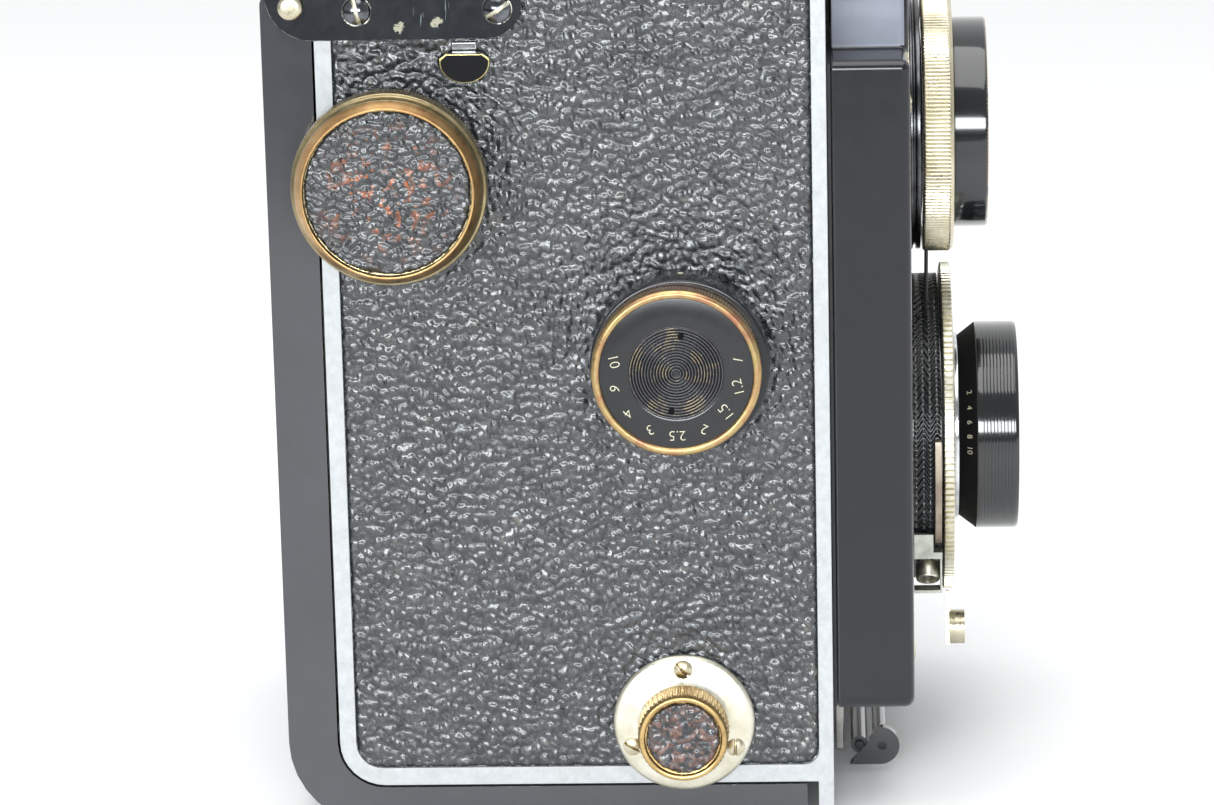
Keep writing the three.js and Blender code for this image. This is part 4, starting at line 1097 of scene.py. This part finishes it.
def build_shutter_levers():
    refined("aperture_scale", SCALE_TAN, 0.12)
    refined("cable_bracket", GREEN_STEEL, 0.35)
    refined("cocking_lever", MATT_BLACK, 0.22)
    refined("aperture_lever", NICKEL, 0.3)
    refined("release_lever", NICKEL, 0.3)
    turn, reach = math.radians(12), 27.9
    knob = Vector((-reach * math.sin(turn), 0, TAKE.z - reach * math.cos(turn)))
    profile = [(0, -52.5), (2.1, -52.5), (2.33, -52.8), (2.33, -54.1), (1.9, -54.47), (0, -54.5)]
    turned("release_lever_knob", "front", knob, profile, NICKEL, "release_lever", steps=64, round_off=0.25)
    bore, outer, length = 1.25, 1.6, 2.2
    socket = looped((bore, 0), (outer - 0.1, 0), (outer, 0.15), (outer, length), (bore, length))
    # A matt black plug fills the socket's bore: painted shade inside the hole.
    bore_shade = [(0, 0.9), (bore - 0.01, 0.9), (bore - 0.01, length - 0.1), (0, length - 0.1)]
    inward = Vector((0, 0, 1)).rotation_difference(Vector((0.643, 0, 0.766))).to_matrix()
    spot = (-19.3, -49.25, 28.2)
    for name, profile, rounding, steps, look, node, slot in (
            ("cable_socket_fine", socket, 0.08, 64, CREAM_NICKEL, "cable_socket", None),
            ("cable_socket_bore_shade", bore_shade, 0.05, 32, MATT_BLACK, None, "black_metal")):
        mesh = turned_mesh(name, "up", Vector((0, 0, 0)), softened(profile, rounding), steps)
        add_piece(name, placed(mesh, inward, spot), look, "standard", node)


def wave_relief(start, radius, pitch, depth):
    """Zigzag ridges around the shutter case."""
    count = round(TURN * radius / pitch)

    def relief(angle, along):
        wave = 0.42 * math.sin(TURN * (along - start) / 1.85)
        return -depth * (0.5 + 0.5 * math.cos(count * angle + TURN * wave))
    return relief


def square_teeth(count, depth):
    def relief(angle, along):
        return -depth if (count * angle / TURN) % 1.0 < 0.36 else 0.0
    return relief


# ---- hood ------------------------------------------------------------------------------
def build_hood():
    refined("top_frame", LACQUER, 0.3, EDGE_SILVER)
    refined("hood_base", LACQUER, 0.3, EDGE_SILVER)
    refined("hood_lid", LACQUER, 0.35, EDGE_SILVER)
    for node in ("hood_flap_right", "hood_flap_left", "hood_flap_rear"):
        refined(node, MATT_BLACK, 0.2)
    refined("loupe_arm", CHROME, 0.25)
    loupe = middle("loupe_lens")
    bottom, top = low("loupe_lens").z, high("loupe_lens").z
    glass = [(0, bottom), (8.2, bottom + 0.5), (8.2, top - 0.5), (0, top)]
    turned("loupe_lens_fine", "up", loupe, glass, GLASS, "loupe", "loupe_lens", 96, round_off=0.1)
    set_looks(frame["nodes"]["focusing_screen"].data, GROUND_GLASS)
    lid_leather(low("hood_lid"), high("hood_lid"))


def lid_leather(lowest, highest):
    """The lid's leather: the same grain, its rim turned down onto the lid."""
    step, inset, sunk = 0.5, 2.2, 0.44
    start, end = (lowest.x + inset, lowest.y + inset), (highest.x - inset, highest.y - inset)
    columns, rows = int((end[0] - start[0]) / step), int((end[1] - start[1]) / step)
    sheet = Sheet()
    for i in range(columns + 1):
        for j in range(rows + 1):
            a, b = start[0] + (end[0] - start[0]) * i / columns, start[1] + (end[1] - start[1]) * j / rows
            roll = 0.5 * max(0.0, 1 - rim_distance(a, b, start, end, 0.0) / 0.7) ** 2
            lift, top = pebbles(a, b, 31.0)
            sheet.add(i, j, (a, b, highest.z - sunk + lift - roll), top)
    name = "hood_lid_leather"
    add_piece(name, sheet.mesh(name), LEATHER, "hood_lid", smooth=80)


# ---- back door and latch ------------------------------------------------------------------
def build_door():
    refined("back_door", LACQUER, 0.35, EDGE_SILVER)
    window = middle("red_window")
    hole = radius_of("red_window") + 1.6

    def inside(x, z):
        return math.hypot(x - window.x, z - window.z) > hole

    leather_panel("leather_back_grain", "leather_back", "xz", 1, seed=41.0, inside=inside, margin=0.2)
    ring = looped((4.0, 35.2), (6.0, 35.2), (6.0, 36.25), (5.6, 36.45), (4.4, 36.3), (4.0, 35.9))
    turned("red_window_ring", "front", window, ring, NICKEL, "back_door", steps=96)
    for node, look in (("red_window", RUBY), ("pressure_plate", STEEL)):
        refined(node, look, 0.15)
    refined("window_cover", NICKEL, 0.2)
    bush = middle("tripod_bush")
    turned("tripod_bush_fine", "up", bush, tube(7, 4.7, 0, 5), NICKEL, "back_door", "tripod_bush", 96)
    refined("latch_base", STEEL, 0.2)
    build_latch()


def build_latch():
    refined("latch_bail", LACQUER, 0.3, EDGE_BLACK)
    lowest, highest = low("latch_bail"), high("latch_bail")
    middle_z = (lowest.z + highest.z) / 2
    for side, x in ((-1, lowest.x), (1, highest.x)):
        for i, y in enumerate((-39.8, -42.9)):
            spot = Vector((0, y, middle_z))
            out = -x - side * 0.02
            pin = [(0, out), (0.62, out), (0.66, out + side * 0.3), (0, out + side * 0.3)]
            turned(f"latch_pin_{side + 1}_{i}", "out", spot, pin, MATT_BLACK, "latch", steps=32,
                   round_off=0.05)


def build_inside():
    refined("supply_shaft", STEEL, 0.1)
    refined("focus_shaft", STEEL, 0.1)
    for side in ("left", "right"):
        refined(f"focus_rack_{side}", STEEL, 0.15)


# ---- stage, light and camera ---------------------------------------------------------------
AIM = (0, 0, 0.06)  # the middle of the object, metres
SENSOR, LENS = 36, 151.2  # the view of the photograph, millimetres
CAMERA_PLACE = (-0.6796, -0.0353, 0.2290)  # metres
CAMERA_TURN = (75.124, 1.286, -87.838)  # degrees


def build_stage():
    """A pale floor that falls to grey far out on the knob side, where glossy faces mirror it."""
    mesh = bpy.data.meshes.new("floor")
    reach = 3.0
    corners = [(-reach, -reach, 0), (reach, -reach, 0), (reach, reach, 0), (-reach, reach, 0)]
    mesh.from_pydata(corners, [], [(0, 1, 2, 3)])
    floor = linked("floor", mesh)
    look = Look("pale_floor", (0.9, 0.9, 0.9), 0.9, Specular_IOR_Level=0.0)
    split = look.nodes.new("ShaderNodeSeparateXYZ")
    look.links.new(look.place, split.inputs["Vector"])
    across = look.math("SUBTRACT", split.outputs["X"], look.math("MULTIPLY", split.outputs["Y"], 0.656))
    look.feed("Base Color", look.ramp(look.math("ADD", across, 1.0), [
        (0.46, 0.08), (0.57, 0.62), (0.83, 0.72), (0.93, 0.93)]))
    mesh.materials.append(look.material)


def area_light(name, place, size, power, color=(1, 1, 1)):
    """A soft panel aimed at the camera's middle; sizes and places in metres, power in watts."""
    light = bpy.data.lights.new(name, "AREA")
    light.shape = "RECTANGLE"
    light.size, light.size_y = size
    light.energy = power
    light.color = color
    lamp = linked(name, light)
    lamp.location = place
    lamp.rotation_euler = (Vector(AIM) - Vector(place)).to_track_quat("-Z", "Y").to_euler()


def build_light():
    """A white studio: a bright dome, dimmer on the knob side, an overhead softbox and a small key light."""
    world = bpy.data.worlds.new("studio")
    world.use_nodes = True
    nodes, links = world.node_tree.nodes, world.node_tree.links
    split = nodes.new("ShaderNodeSeparateXYZ")
    links.new(nodes.new("ShaderNodeTexCoord").outputs["Generated"], split.inputs["Vector"])
    fall = nodes.new("ShaderNodeMapRange")
    for socket, value in (("From Min", -0.9), ("From Max", 0.6), ("To Min", 0.22), ("To Max", 1.05)):
        fall.inputs[socket].default_value = value
    links.new(split.outputs["X"], fall.inputs["Value"])
    links.new(fall.outputs["Result"], nodes["Background"].inputs["Strength"])
    nodes["Background"].inputs["Color"].default_value = (0.98, 0.99, 1.0, 1)
    bpy.context.scene.world = world
    area_light("overhead_softbox", (-0.2, 0.05, 0.9), (0.8, 0.8), 6)
    area_light("key_light", (-0.92, 0.12, 0.25), (0.9, 0.2), 10, (0.93, 0.97, 1.0))


def build_camera():
    camera = bpy.data.cameras.new("camera")
    camera.sensor_width = SENSOR
    camera.lens = LENS
    camera.clip_start = 0.01
    holder = linked("camera", camera)
    holder.location = CAMERA_PLACE
    holder.rotation_euler = [math.radians(angle) for angle in CAMERA_TURN]
    bpy.context.scene.camera = holder
    bpy.context.scene.view_settings.view_transform = "Standard"


build_camera()
build_light()
build_stage()
build_body()
build_hinge_plates()
build_wind_knob()
build_focus_knob()
build_supply_knob()
build_standard()
build_viewing_lens()
build_taking_lens()
build_hood()
build_door()
build_inside()
